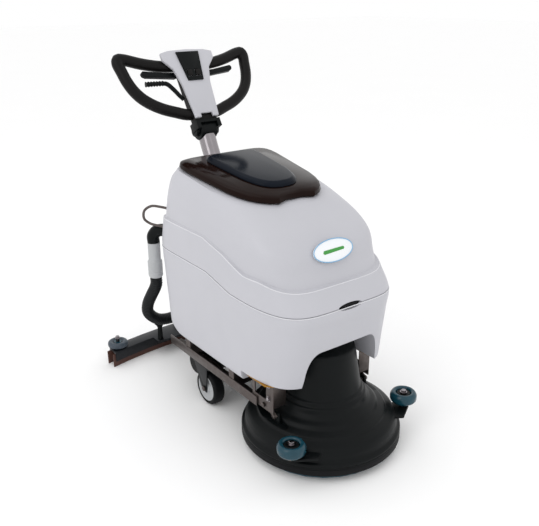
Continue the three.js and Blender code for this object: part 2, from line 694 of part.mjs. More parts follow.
// ---- Brush deck -----------------------------------------------------------------------------
function deckHousing() {
  const r = DECK_RADIUS;
  const low = SKIRT_BOTTOM + 22;
  const bell = turned(
    'z',
    [
      [0, HOOD_TOP], [80, HOOD_TOP], [104, HOOD_TOP - 14], [113, HOOD_TOP - 60], [130, 176], [142, 152],
      [176, 130], [190, 118], [r - 14, 92], [r - 10, 64], [r, 60], [r, low], [r - 6, low], [r - 16, 58],
      [r - 22, 84], [166, 122], [134, 144], [122, 172], [105, HOOD_TOP - 60], [94, HOOD_TOP - 20],
      [78, HOOD_TOP - 8], [0, HOOD_TOP - 8],
    ],
    [0, 0, 0],
    30,
  );
  const outside = (side, x, y0, y1, z) => box(side > 0 ? x : -FAR, side > 0 ? FAR : -x, y0, y1, z, 400);
  const flats = [-1, 1].flatMap(
    (side) => [outside(side, 174, -60, 50, 122), outside(side, 150, 40, 300, 120)],
  );
  const linkRoom = (side) => box(
    side * (REAR_LUG_X + 8) - 14, side * (REAR_LUG_X + 8) + 14, 122, 260, 122, 300,
  );
  const lug = (x, pin) => sidePlate(
    [[pin.y - 26, 96], [pin.y + 26, 96], [pin.y + 11, pin.z + 11], [pin.y - 11, pin.z + 11]],
    x - 4,
    x + 4,
  );
  return cut(
    join(
      cut(bell, ...flats, linkRoom(1), linkRoom(-1)),
      lug(LUG_X, LINK_LOW), lug(-LUG_X, LINK_LOW), lug(REAR_LUG_X, REAR_LINK_LOW), lug(
        -REAR_LUG_X, REAR_LINK_LOW,
      ),
      bumperArm(1), bumperArm(-1),
    ),
    rod('x', PIN + GAP, 600, [0, LINK_LOW.y, LINK_LOW.z], 16),
    rod('x', PIN + GAP, 400, [0, REAR_LINK_LOW.y, REAR_LINK_LOW.z], 16),
  );
}

const BUMPER_ARM = 88; // underside of the roller arms
const LUG_X = 181;
const REAR_LUG_X = 78;

// Short arm on the rim with the upright pin that a corner roller turns on.
function bumperArm(side) {
  const plan = [
    [BUMPER_X - 82, 38], [BUMPER_X - 54, 56], [BUMPER_X + 4, 22], [BUMPER_X + 14, 0], [BUMPER_X, -20], [BUMPER_X - 32, -28],
  ];
  const outline = plan.map(([x, forward]) => [side * x, BUMPER_Y - forward]);
  return join(
    flatPlate(side > 0 ? outline : outline.reverse(), BUMPER_ARM, BUMPER_ARM + 8),
    rod(
      'z', 7, BUMPER_Z + 24 - BUMPER_ARM, [side * BUMPER_X, BUMPER_Y, (BUMPER_Z + 24 + BUMPER_ARM) / 2], 14,
    ),
    rod(
      'z',
      14,
      BUMPER_Z - 19 - BUMPER_ARM,
      [side * BUMPER_X, BUMPER_Y, (BUMPER_Z - 19 + BUMPER_ARM) / 2],
      14,
    ),
  );
}

const bumperTyre = (side) => turned(
  'z',
  [[7 + FIT / 2, -17], [BUMPER_RADIUS - 8, -18], [BUMPER_RADIUS, -10], [BUMPER_RADIUS, 8], [BUMPER_RADIUS - 8, 17],
    [28, 17], [25, 12], [7 + FIT / 2, 14], [7 + FIT / 2, -17]],
  [side * BUMPER_X, BUMPER_Y, BUMPER_Z],
  24,
);

const deckSkirt = () => turned(
  'z',
  [[DECK_RADIUS - 5, SKIRT_BOTTOM], [DECK_RADIUS, SKIRT_BOTTOM], [DECK_RADIUS, SKIRT_BOTTOM + 22 - GAP],
    [DECK_RADIUS - 5, SKIRT_BOTTOM + 22 - GAP], [DECK_RADIUS - 5, SKIRT_BOTTOM]],
  [0, 0, 0],
  30,
);

const HUB_BASE = 70;
const HUB_TOP = 117;
const brushMotor = () => join(
  rod('z', 80, HOOD_TOP - 30 - HUB_TOP - 20, [0, 0, (HOOD_TOP - 30 + HUB_TOP + 20) / 2], 28),
  rod('z', 60, 30, [0, 0, HUB_TOP + GAP + 15], 24),
  rod('z', 30, 30, [0, 0, HOOD_TOP - 23 - GAP], 20),
);
const driveHub = () => join(
  rod('z', 44, 14, [0, 0, HUB_BASE + 7], 24),
  rod('z', 26, HUB_TOP - HUB_BASE - 4, [0, 0, (HUB_TOP + HUB_BASE) / 2], 20),
);
const brushDisc = () => turned(
  'z',
  [
    [0, HUB_BASE - GAP], [60, HUB_BASE - GAP], [BRUSH_RADIUS - 10, 62], [BRUSH_RADIUS - 10, 52], [60, 52],
    [60, 60], [0, 60],
  ],
  [0, 0, 0],
  28,
);
const brushBristles = () => turned(
  'z',
  [[90, 0], [BRUSH_RADIUS, 0], [BRUSH_RADIUS - 14, 52 - GAP], [104, 52 - GAP], [90, 0]],
  [0, 0, 0],
  28,
);

// Swinging link with its two pins, beside a lug of the deck.
function linkPlate(x0, x1, upper, lower) {
  const span = (a, b, r) => {
    const along = new THREE.Vector2(b.y - a.y, b.z - a.z).normalize().multiplyScalar(r);
    return [
      [
        a.y - along.x + along.y, a.z - along.y - along.x,
      ], [b.y + along.x + along.y, b.z + along.y - along.x],
      [
        b.y + along.x - along.y, b.z + along.y + along.x,
      ], [a.y - along.x - along.y, a.z - along.y + along.x],
    ];
  };
  return sidePlate(span(upper, lower, 9), x0, x1);
}

function deckLink(side) {
  const at = (x0, x1, r, pin, sides) => rod('x', r, x1 - x0, [side * (x0 + x1) / 2, pin.y, pin.z], sides);
  const [x0, x1] = side > 0 ? [LUG_X + 5, LUG_X + 10] : [-LUG_X - 10, -LUG_X - 5];
  return join(
    linkPlate(x0, x1, LINK_TOP, LINK_LOW),
    at(LUG_X + 6, FRAME_HALF - 4, PIN, LINK_TOP, 16),
    at(FRAME_HALF - 5, FRAME_HALF - 1, 8, LINK_TOP, 6),
    at(LUG_X - 6, LUG_X + 12, PIN, LINK_LOW, 16),
    at(LUG_X + 9, LUG_X + 14, 8, LINK_LOW, 6),
  );
}

function rearLink() {
  const upper = { y: REAR_LINK_Y, z: LINK_TOP.z };
  const inner = REAR_LUG_X + 5;
  const stub = (side) => rod('x', PIN, 16, [side * (inner - 3), REAR_LINK_LOW.y, REAR_LINK_LOW.z], 16);
  return join(
    linkPlate(inner, inner + 6, upper, REAR_LINK_LOW),
    linkPlate(-inner - 6, -inner, upper, REAR_LINK_LOW),
    rod('x', PIN, 2 * 102, [0, upper.y, upper.z], 16),
    stub(1),
    stub(-1),
  );
}

// Foot pedal that lifts the deck, on the same pin line as the squeegee arm.
function deckPedal() {
  const pin = SQUEEGEE_LIFT;
  const bar = sidePlate(
    [
      [pin.y - 10, pin.z - 9], [pin.y + 14, pin.z - 9], [pin.y + 96, pin.z + 14], [pin.y + 96, pin.z + 24],
      [pin.y - 10, pin.z + 9],
    ],
    PEDAL_X - 4,
    PEDAL_X + 4,
  );
  return join(
    bar,
    box(PEDAL_X - 30, PEDAL_X + 30, pin.y + 84, pin.y + 124, pin.z + 18, pin.z + 26),
    rod('x', PIN, 26, [PEDAL_X - 8, pin.y, pin.z], 16),
  );
}

// ---- Inside the chassis ------------------------------------------------------------------
const battery = (side) => join(
  box(
    side > 0 ? 3 : -124,
    side > 0 ? 124 : -3,
    BATTERY_BAY.front + 5,
    BATTERY_BAY.rear - 5,
    BATTERY_BAY.floor + GAP,
    458,
  ),
  rod('z', 9, 20, [side * 30, BATTERY_BAY.front + 30, 462], 12),
  rod('z', 9, 20, [side * 98, BATTERY_BAY.front + 30, 462], 12),
);

function vacuumMotor() {
  const x = [-150, 120];
  return join(
    rod('x', 52, x[1] - x[0], [(x[0] + x[1]) / 2, VACUUM_Y, FRAME_BOTTOM - 58], 28),
    rod('x', 40, x[1] - x[0] + 24, [(x[0] + x[1]) / 2, VACUUM_Y, FRAME_BOTTOM - 58], 28),
    box(-60, 60, VACUUM_Y - 30, VACUUM_Y + 30, FRAME_BOTTOM - 30, FRAME_BOTTOM - GAP),
  );
}
const VACUUM_Y = 506;

const solutionValve = () => join(
  box(60, 112, 262, 300, FRAME_TOP - 44, FRAME_TOP - STEEL - GAP),
  rod('y', 8, 70, [86, 281, FRAME_TOP - 26], 12),
);

// ---- Squeegee ------------------------------------------------------------------------------
const squeegeeBow = (x) => SQUEEGEE_Y - (SQUEEGEE_Y - SQUEEGEE_ENDS) * (x / SQUEEGEE_HALF) ** 2;

// Curved bar that follows the squeegee between two offsets from its middle line.
function bowedBar(half, front, rear, z0, z1, steps = 18) {
  const across = Array.from({ length: steps + 1 }, (_, i) => -half + (2 * half * i) / steps);
  const outline = [
    ...across.map((x) => [x, squeegeeBow(x) + front]),
    ...across.reverse().map((x) => [x, squeegeeBow(x) + rear]),
  ];
  return flatPlate(outline, z0, z1);
}

const BLADE_TOP = 44;
function squeegeeBody() {
  const { front, rear } = SQUEEGEE_DEPTH;
  const nozzle = [0, SQUEEGEE_PIVOT.y, (BLADE_TOP + NOZZLE_TOP) / 2 + 10];
  const shell = join(
    bowedBar(SQUEEGEE_HALF - 14, -front, rear, BLADE_TOP + 8, BLADE_TOP + 16),
    bowedBar(SQUEEGEE_HALF - 14, -front, -front + 5, BLADE_TOP - 22, BLADE_TOP + 12),
    bowedBar(SQUEEGEE_HALF - 14, rear - 5, rear, BLADE_TOP - 22, BLADE_TOP + 12),
    box(-160, 160, 792, SQUEEGEE_Y - 10, BLADE_TOP + 8, BLADE_TOP + 16),
    box(-42, 42, SQUEEGEE_PIVOT.y - 30, SQUEEGEE_Y + 14, BLADE_TOP + 10, BLADE_TOP + 42),
    rod('z', 24, NOZZLE_TOP - BLADE_TOP - 20, nozzle, 20),
    ...[-1, 1].map((side) => rod('z', 7, 44, [side * ROLLER_X, ROLLER_Y, BLADE_TOP + 32], 12)),
    ...[-1, 1].map(
      (side) => box(
        side * ROLLER_X - 14,
        side * ROLLER_X + 14,
        ROLLER_Y - 30,
        ROLLER_Y + 10,
        BLADE_TOP + 8,
        BLADE_TOP + 16,
      ),
    ),
  );
  const duct = box(-36, 36, SQUEEGEE_PIVOT.y - 24, SQUEEGEE_Y + 8, BLADE_TOP + 16, BLADE_TOP + 36);
  const mouth = box(-36, 36, SQUEEGEE_Y - 12, SQUEEGEE_Y + 8, 0, BLADE_TOP + 20);
  return cut(shell, duct, mouth, rod('z', 20, 200, [0, SQUEEGEE_PIVOT.y, BLADE_TOP + 120], 20));
}
const NOZZLE_TOP = 152;
const ROLLER_X = 304;
const ROLLER_Y = 853;

const frontBlade = () => bowedBar(
  SQUEEGEE_HALF - 4, -SQUEEGEE_DEPTH.front + 5 + GAP, -SQUEEGEE_DEPTH.front + 9, 0, BLADE_TOP + 8 - GAP,
);
const rearBlade = () => bowedBar(
  SQUEEGEE_HALF, SQUEEGEE_DEPTH.rear - 10, SQUEEGEE_DEPTH.rear - 5 - GAP, 0, BLADE_TOP + 8 - GAP,
);

const squeegeeRoller = (side) => turned(
  'z',
  [
    [7 + FIT / 2, 0], [31, 0], [38, 5], [38, 19], [31, 24], [25, 24], [23, 20], [7 + FIT / 2, 20],
    [7 + FIT / 2, 0],
  ],
  [side * ROLLER_X, ROLLER_Y, BLADE_TOP + 17],
  20,
);

const squeegeeKnob = (side) => turned(
  'z',
  [[0, 0], [13, 0], [10, 8], [9, 56], [20, 64], [22, 72], [20, 82], [10, 88], [0, 88]],
  [side * 140, 812, BLADE_TOP + 16 + GAP],
  16,
);

function squeegeeArm() {
  const { y, z } = SQUEEGEE_PIVOT;
  const bar = (x) => sidePlate(
    [[
      SQUEEGEE_LIFT.y - 10, SQUEEGEE_LIFT.z - 9,
    ], [SQUEEGEE_LIFT.y + 12, SQUEEGEE_LIFT.z - 9], [y - 20, z - 6], [y - 20, z + 4],
      [SQUEEGEE_LIFT.y + 16, SQUEEGEE_LIFT.z + 9], [SQUEEGEE_LIFT.y - 10, SQUEEGEE_LIFT.z + 9]],
    x - 3,
    x + 3,
  );
  const pin = (side) => rod('x', PIN, 20, [side * 62, SQUEEGEE_LIFT.y, SQUEEGEE_LIFT.z], 16);
  return cut(
    join(bar(69), bar(-69), box(-72, 72, y - 32, y + 34, z - 8, z), pin(1), pin(-1)),
    rod('z', 24 + FIT / 2, 60, [0, y, z], 20),
  );
}

// ---- Suction hose, from the tank elbow to the squeegee --------------------------------------------
const hoseRoute = [
  [HOSE_TOP.x, HOSE_TOP.y, CUFF_END - GAP],
  [HOSE_TOP.x, HOSE_TOP.y, CUFF_END - 26],
  [-224, 664, 350], [-230, 684, 316], [-236, 706, 274], [-230, 722, 236], [-208, 731, 206], [-180, 734, 186],
  [-140, 738, 176], [-100, 746, 174], [-60, 757, 177], [-26, 770, 192], [-6, 777, 190],
  [0, SQUEEGEE_PIVOT.y, NOZZLE_TOP + 20],
  [0, SQUEEGEE_PIVOT.y, NOZZLE_TOP + GAP],
];
const suctionHose = () => sweep(hoseRoute, HOSE_RADIUS, HOSE_RADIUS, 22, 10);
const hoseCuff = () => turned(
  'z',
  [[0, CUFF_END], [HOSE_RADIUS + 2, CUFF_END], [
    HOSE_RADIUS + 4, CUFF_END + 10,
  ], [HOSE_RADIUS + 4, CUFF_END + 60],
    [HOSE_RADIUS, CUFF_END + 66], [HOSE_RADIUS, ELBOW_END - GAP], [0, ELBOW_END - GAP]],
  [HOSE_TOP.x, HOSE_TOP.y, 0],
  24,
);

// ---- Handle head, drawn upright and then leant back -------------------------------------------------
const lean = (solid) => solid
  .rotate([-THREE.MathUtils.radToDeg(HANDLE_LEAN), 0, 0])
  .translate([0, HANDLE_ORIGIN.y, HANDLE_ORIGIN.z]);

const SPINE_HALF = 42;
const halfLoop = (side) => sweep(
  [
    [20, 0, 28], [60, 0, 30], [97, 0, 42], [140, 0, 58], [176, 0, 78], [
      206, 0, 103,
    ], [226, 0, 131], [240, 0, 166],
    [248, 0, 205], [253, 0, 234], [248, 0, 247], [230, 0, 246], [165, 0, 226], [100, 0, 213], [20, 0, 208],
  ].map(([x, y, z]) => [side * x, y, z]),
  HANDLE_BAR,
  HANDLE_BAR,
  22,
  8,
);
const handleLoop = () => lean(
  join(halfLoop(1), halfLoop(-1), box(-SPINE_HALF, SPINE_HALF, -HANDLE_BAR, HANDLE_BAR, -2, 236)),
);

function headBlock() {
  const cheek = (side) => box(
    side > 0 ? TUBE_RADIUS + 3 : -48, side > 0 ? 48 : -TUBE_RADIUS - 3, -26, 24, -32, -8,
  );
  return join(
    lean(join(cheek(1), cheek(-1), box(-48, 48, -26, 24, -13, -2 - GAP))),
    rod('x', HEAD_HUB, 90, [0, HEAD_AXIS.y, HEAD_AXIS.z], 20),
  );
}

const COVER_BACK = -HANDLE_BAR - GAP;
const COVER_FRONT = COVER_BACK - 12;
function yokeCover() {
  const half = [
    [23, 18], [23, 4], [46, 4], [50, 60], [57, 130], [72, 186], [102, 220], [103, 246], [70, 254],
    [0, 257],
  ];
  const mirrored = half.slice(0, -1).map(([x, z]) => [-x, z]).reverse();
  return lean(frontPlate([...half, ...mirrored], COVER_FRONT, COVER_BACK));
}

const SWITCH = { x: 16, z: 166, half: 9, tall: 11, thick: 3 };
function controlPanel() {
  const plate = frontPlate(
    [[-30, 138], [30, 138], [45, 245], [-45, 245]], COVER_FRONT - 5, COVER_FRONT - GAP,
  );
  const hole = (side) => box(
    side * SWITCH.x - SWITCH.half - 1.5,
    side * SWITCH.x + SWITCH.half + 1.5,
    -200,
    200,
    SWITCH.z - SWITCH.tall - 1.5,
    SWITCH.z + SWITCH.tall + 1.5,
  );
  return lean(cut(plate, hole(1), hole(-1)));
}
const SWITCH_Y = COVER_FRONT - 5;
const rocker = (side) => lean(box(
  side * SWITCH.x - SWITCH.half,
  side * SWITCH.x + SWITCH.half,
  SWITCH_Y - SWITCH.thick,
  SWITCH_Y + SWITCH.thick,
  SWITCH.z - SWITCH.tall,
  SWITCH.z + SWITCH.tall,
));

const trigger = (side) => lean(frontPlate(
  [[46, 168], [60, 164], [170, 176], [180, 182], [182, 192], [176, 198], [100, 187], [46, 183]]
    .map(([x, z]) => [side * x, z]),
  -9,
  9,
));

const squeegeeLever = () => lean(join(
  sweep(
    [[-52, 0, 86], [-64, -2, 100], [-82, -4, 126], [-100, -4, 146], [-136, -3, 150], [-176, 0, 152]],
    7,
    9,
    9,
    8,
  ),
  rod('y', 11, 14, [-54, 0, 90], 12),
));

// ---- Assembly ------------------------------------------------------------------------------
const finish = (colour, roughness, metalness = 0) => ({ color: colour, roughness, metalness });
const WHITE = finish(0xe9ebee, 0.35);
const BLACK_PLASTIC = finish(0x17181a, 0.5);
const GLOSS_BLACK = finish(0x120d0b, 0.12);
const BLACK_PAINT = finish(0x2a2a2c, 0.5, 0.3);
const GREY_STEEL = finish(0x6f6d74, 0.4, 0.8);
const ZINC = finish(0xb8b9bc, 0.35, 0.9);
const CHROME = finish(0xd5d7da, 0.12, 1);
const RUBBER = finish(0x1a1a1a, 0.8);
const TEAL = finish(0x1f5566, 0.35);
const PALE_GREY = finish(0xc3c6c9, 0.5);
const ALUMINIUM = finish(0x4a4a4e, 0.4, 0.6);
const GUM = finish(0x8a5a35, 0.6);

const machine = new THREE.Group();
machine.position.y = -ORIGIN_Y;

function piece(name, solid, look) {
  const mesh = new THREE.Mesh(toGeometry(solid), new THREE.MeshStandardMaterial(look));
  mesh.name = name;
  machine.add(mesh);
}

function pair(name, make, look) {
  piece(`${name}_right`, make(1), look);
  piece(`${name}_left`, make(-1), look);
}

piece('chassis_frame', chassisFrame(), BLACK_PAINT);
piece('solution_tank', solutionTank(), WHITE);
piece('recovery_tank', recoveryTank(), WHITE);
pair('battery', battery, BLACK_PLASTIC);
pair('leg_bracket', legBracket, GREY_STEEL);
pair('caster_fork', casterFork, ZINC);
pair('caster_axle', casterAxle, ZINC);
pair('wheel_hub', wheelHub, PALE_GREY);
pair(
  'wheel_tyre',
  (side) => tyre(side * WHEEL_X, WHEEL_Y, WHEEL_RADIUS, RIM_RADIUS + GAP, WHEEL_RADIUS, WHEEL_WIDTH),
  RUBBER,
);
piece('tail_caster_fork', tailFork(), ZINC);
piece('tail_caster_wheel', tailWheel(), PALE_GREY);
piece('vacuum_motor', vacuumMotor(), BLACK_PLASTIC);
piece('solution_valve', solutionValve(), BLACK_PLASTIC);
piece('suction_hose', suctionHose(), RUBBER);
piece('hose_cuff', hoseCuff(), PALE_GREY);

piece('lid', lidBody(), GLOSS_BLACK);
piece('lid_window', lidDome(), GLOSS_BLACK);
piece('lid_gasket', lidGasket(), RUBBER);
piece('front_badge', badge(), WHITE);
piece('float_cage', floatCage(), PALE_GREY);
piece('float_ball', floatBall(), PALE_GREY);
piece('tank_elbow', tankElbow(), BLACK_PLASTIC);
piece('hose_hook', hoseHook(), PALE_GREY);
piece('drain_cap', drainCap(), BLACK_PLASTIC);

piece('deck_housing', deckHousing(), BLACK_PLASTIC);
piece('deck_skirt', deckSkirt(), RUBBER);
piece('brush_motor', brushMotor(), GREY_STEEL);
piece('drive_hub', driveHub(), ZINC);
piece('brush_disc', brushDisc(), BLACK_PLASTIC);
piece('brush_bristles', brushBristles(), TEAL);
pair('bumper_roller', bumperTyre, TEAL);
pair('deck_link', deckLink, ZINC);
piece('deck_link_rear', rearLink(), ZINC);
piece('deck_pedal', deckPedal(), BLACK_PAINT);

piece('squeegee_arm', squeegeeArm(), BLACK_PAINT);
piece('squeegee_body', squeegeeBody(), ALUMINIUM);
piece('squeegee_blade_front', frontBlade(), GUM);
piece('squeegee_blade_rear', rearBlade(), GUM);
pair('squeegee_roller', squeegeeRoller, PALE_GREY);
pair('squeegee_knob', squeegeeKnob, BLACK_PLASTIC);

piece('column_tube', columnTube(), CHROME);
piece('head_block', headBlock(), BLACK_PLASTIC);
piece('handle_loop', handleLoop(), BLACK_PLASTIC);
piece('yoke_cover', yokeCover(), WHITE);
piece('control_panel', controlPanel(), BLACK_PLASTIC);
pair('trigger', trigger, BLACK_PLASTIC);
piece('squeegee_lever', squeegeeLever(), BLACK_PLASTIC);
piece('power_switch', rocker(-1), BLACK_PLASTIC);
piece('water_switch', rocker(1), BLACK_PLASTIC);

export default machine;
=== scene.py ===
# %% [markdown]
# # A walk-behind floor scrubber
#
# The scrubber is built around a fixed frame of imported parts. Each step below dresses one piece of
# it: two rotomoulded tanks, a smoked lid, a brush deck, a squeegee and a loop handle.
# Lengths are written in millimetres from the brush axis on the floor, as a maker would measure
# them on the machine, and turned to metres in one place.

# %% The frame
import json
import math

import bpy
from mathutils import Matrix, Vector


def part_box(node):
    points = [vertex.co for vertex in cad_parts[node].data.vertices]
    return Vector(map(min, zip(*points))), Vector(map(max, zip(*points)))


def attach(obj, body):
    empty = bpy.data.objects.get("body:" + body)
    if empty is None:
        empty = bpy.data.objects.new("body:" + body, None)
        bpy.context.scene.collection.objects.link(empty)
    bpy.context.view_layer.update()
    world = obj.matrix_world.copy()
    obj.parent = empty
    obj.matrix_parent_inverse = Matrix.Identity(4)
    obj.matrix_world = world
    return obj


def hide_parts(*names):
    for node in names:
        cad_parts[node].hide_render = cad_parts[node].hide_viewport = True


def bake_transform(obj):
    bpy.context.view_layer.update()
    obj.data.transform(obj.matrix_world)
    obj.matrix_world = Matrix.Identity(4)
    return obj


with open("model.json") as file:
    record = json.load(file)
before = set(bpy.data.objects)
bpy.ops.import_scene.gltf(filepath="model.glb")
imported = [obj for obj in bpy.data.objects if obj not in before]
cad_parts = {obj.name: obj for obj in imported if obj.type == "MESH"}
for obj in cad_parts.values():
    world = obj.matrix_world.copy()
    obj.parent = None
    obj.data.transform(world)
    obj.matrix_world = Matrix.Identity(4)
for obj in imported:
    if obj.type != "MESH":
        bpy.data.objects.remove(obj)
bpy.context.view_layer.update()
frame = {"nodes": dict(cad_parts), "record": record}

low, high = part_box("brush_disc")
BRUSH_Y = (low[1] + high[1]) / 2

ROLLER_X, ROLLER_Y, ROLLER_Z = 232, -140, 124  # centre of a corner roller
WHEEL_X, WHEEL_Y, WHEEL_RADIUS = 179, 378, 62.5  # centre of a fixed wheel, and its radius
TILT_Y, TILT_Z = 641.5, 899  # line that the handle head tilts about
HANDLE_Y, HANDLE_Z = 645, 930  # foot of the leaning handle
BAR_RADIUS = 19.8  # bars and spine of the loop handle
COLUMN_Y, COLUMN_RADIUS = 586, 30  # upright part of the column, and its radius
CUFF_X, CUFF_Y = -222, 654  # upright axis of the hose cuff
SLOT_HALF, SLOT_Z = 46, 501  # half-length and height of the finger slot


# %% Small helpers for places and names
def at(x, y, z):
    return Vector((x / 1000, y / 1000 + BRUSH_Y, z / 1000))


def clear():
    if bpy.context.object and bpy.context.object.mode != "OBJECT":
        bpy.ops.object.mode_set(mode="OBJECT")
    bpy.ops.object.select_all(action="DESELECT")


def active(piece):
    clear()
    piece.select_set(True)
    bpy.context.view_layer.objects.active = piece
    return piece


def mesh_piece(name, points, edges=(), faces=()):
    mesh = bpy.data.meshes.new(name)
    mesh.from_pydata([tuple(p) for p in points], list(edges), list(faces))
    piece = bpy.data.objects.new(name, mesh)
    bpy.context.scene.collection.objects.link(piece)
    return piece


def smooth(piece, degrees=35):
    active(piece)
    bpy.ops.object.shade_smooth_by_angle(angle=math.radians(degrees))
    return piece


def outward(piece, gap=1e-5):
    active(piece)
    bpy.ops.object.mode_set(mode="EDIT")
    bpy.ops.mesh.select_all(action="SELECT")
    bpy.ops.mesh.remove_doubles(threshold=gap)
    bpy.ops.mesh.normals_make_consistent(inside=False)
    bpy.ops.object.mode_set(mode="OBJECT")
    return piece


def apply_modifiers(piece):
    active(piece)
    for modifier in list(piece.modifiers):
        bpy.ops.object.modifier_apply(modifier=modifier.name)
    return piece


def bevelled(piece, width, segments=3, degrees=40):
    modifier = piece.modifiers.new("edge", "BEVEL")
    modifier.width = width / 1000
    modifier.segments = segments
    modifier.limit_method = "ANGLE"
    modifier.angle_limit = math.radians(degrees)
    modifier.harden_normals = False
    apply_modifiers(piece)
    return smooth(piece)


# %% [markdown]
# ## Camera and studio
#
# A catalogue picture is taken with a longish lens from a little above the machine, so that the
# upright lines stay nearly parallel. A wide pale floor and four large lamps give soft light with
# no hard shadow, which shows a white plastic body better than one strong lamp would.

# %% Camera
camera = bpy.data.objects.new("camera", bpy.data.cameras.new("camera"))
bpy.context.scene.collection.objects.link(camera)
camera.data.lens = 46.98
camera.data.sensor_width = 36
camera.data.clip_end = 60
camera.location = (-1.2967, -1.7853, 1.3464)
aim = Vector((0.1774, 0.1853, 0.400)) - camera.location
camera.rotation_euler = (
    aim.to_track_quat("-Z", "Y").to_matrix() @ Matrix.Rotation(math.radians(-0.28), 3, "Z")
).to_euler()
bpy.context.scene.camera = camera
print("camera at", [round(v, 3) for v in camera.location])


# %% Studio
def lamp(name, place, target, size, power):
    light = bpy.data.lights.new(name, "AREA")
    light.shape = "DISK"
    light.size = size
    light.energy = power
    lamp_object = bpy.data.objects.new(name, light)
    lamp_object.location = place
    lamp_object.rotation_euler = (Vector(target) - Vector(place)).to_track_quat("-Z", "Y").to_euler()
    bpy.context.scene.collection.objects.link(lamp_object)


lamp("key_lamp", (-3.2, -0.6, 2.9), (0, 0, 0.5), 2.4, 20)
lamp("front_lamp", (0.6, -3.6, 2.4), (0, 0, 0.5), 2.6, 3)
lamp("top_lamp", (-0.6, 0.8, 3.6), (0, 0, 0.6), 2.2, 6)
lamp("back_lamp", (2.4, 2.6, 2.0), (0, 0, 0.6), 1.6, 2)

world = bpy.data.worlds.new("studio")
bpy.context.scene.world = world
world.use_nodes = True
world.node_tree.nodes["Background"].inputs["Color"].default_value = (1.0, 1.0, 1.0, 1)
world.node_tree.nodes["Background"].inputs["Strength"].default_value = 1.0
bpy.context.scene.view_settings.view_transform = "Standard"


# %% [markdown]
# ## Materials
#
# A material is a short chain of nodes: where a point lies on the piece, a noise of a real size in
# millimetres, and a surface shader. One function adds a node, one turns a hex colour into the
# linear numbers that the shader wants, and one builds the finishes that differ only in numbers.

# %% Colour and node helpers
def colour(code):
    channels = [int(code[i:i + 2], 16) / 255 for i in (0, 2, 4)]
    return tuple(c / 12.92 if c <= 0.04045 else ((c + 0.055) / 1.055) ** 2.4 for c in channels) + (1,)


def add_node(material, kind, settings=None, links=None):
    node = material.node_tree.nodes.new(kind)
    for key, value in (settings or {}).items():
        if key in node.inputs:
            node.inputs[key].default_value = value
        else:
            setattr(node, key, value)
    for key, source in (links or {}).items():
        material.node_tree.links.new(source, node.inputs[key])
    return node


def surface(
    name, base, rough, shade=None, metal=0.0, grain=1.5, relief=0.02, mottle=40.0, coat=0.0, gleam=0.5,
    swing=0.08,
):
    """A finish with a base colour, a darker or lighter shade that clouds it over `mottle` mm, and a
    grain of `grain` mm standing `relief` mm high. The roughness swings a little either way."""
    material = bpy.data.materials.new(name)
    material.use_nodes = True
    material.node_tree.nodes.clear()
    place = add_node(material, "ShaderNodeTexCoord").outputs["Object"]
    cloud = add_node(
        material, "ShaderNodeTexNoise", {"Scale": 1000 / mottle, "Detail": 4.0, "Roughness": 0.6},
        {"Vector": place},
    )
    tint = add_node(material, "ShaderNodeMix", {"data_type": "RGBA"}, {"Factor": cloud.outputs["Fac"]})
    tint.inputs[6].default_value = colour(base)
    tint.inputs[7].default_value = colour(shade or base)
    fine = add_node(material, "ShaderNodeTexNoise", {"Scale": 1000 / grain, "Detail": 3.0}, {"Vector": place})
    gloss = add_node(
        material, "ShaderNodeMapRange", {"To Min": rough - swing, "To Max": rough + swing},
        {"Value": cloud.outputs["Fac"]},
    )
    bump = add_node(
        material, "ShaderNodeBump", {"Strength": 1.0, "Distance": relief / 1000},
        {"Height": fine.outputs["Fac"]},
    )
    shader = add_node(
        material, "ShaderNodeBsdfPrincipled",
        {"Metallic": metal, "Coat Weight": coat, "Specular IOR Level": gleam},
        {
            "Base Color": tint.outputs[2], "Roughness": gloss.outputs["Result"],
            "Normal": bump.outputs["Normal"],
        },
    )
    add_node(material, "ShaderNodeOutputMaterial", None, {"Surface": shader.outputs["BSDF"]})
    return material


# %% Finishes of the machine
# Rotomoulded polyethylene: waxy, a faint orange peel of a few millimetres, soft highlights.
rotomoulded_pe = surface(
    "rotomoulded_polyethylene", "BFBFC5", 0.42, "BABAC0", grain=5, relief=0.05, mottle=160, gleam=0.35,
    swing=0.05,
)
# Smoked ABS lid: polished mould, brown-black, mirror-like with a trace of handling marks.
smoked_abs = surface(
    "polished_smoked_abs", "150C0A", 0.12, "20120E", grain=30, relief=0.03, mottle=120, gleam=0.07,
    swing=0.03,
)
# Window of the lid: the same plastic, tinted blue-grey.
window_abs = surface(
    "polished_blue_grey_abs", "11151C", 0.14, "181D26", grain=40, relief=0.03, mottle=140, gleam=0.06,
    swing=0.03,
)
# Textured black polypropylene of the deck and handle: spark-eroded mould, fine grain, satin.
black_pp = surface(
    "textured_black_polypropylene", "050809", 0.42, "0A0E0F", grain=0.9, relief=0.05, mottle=60, gleam=0.14,
    swing=0.07,
)
# Soft grip rubber: a little browner and duller than the deck.
grip_rubber = surface(
    "moulded_grip_rubber", "080809", 0.46, "110E0D", grain=1.2, relief=0.08, mottle=50, gleam=0.16,
    swing=0.08,
)
# Black powder coat on folded steel: orange peel and a mid gloss.
powder_coat = surface(
    "black_powder_coat", "0E0F12", 0.40, "18191C", grain=2.2, relief=0.06, mottle=80, gleam=0.2,
)
# Zinc-plated folded steel: grey with brown bloom, rolled grain.
zinc_plate = surface(
    "zinc_plated_steel", "6C6766", 0.36, "4A3F3A", metal=0.9, grain=1.4, relief=0.02, mottle=22, swing=0.12,
)
# Yellow passivated zinc on the bracket's shelf.
yellow_zinc = surface(
    "yellow_passivated_zinc", "B98A3C", 0.38, "94692B", metal=0.8, grain=1.4, relief=0.02, mottle=18,
    swing=0.1,
)
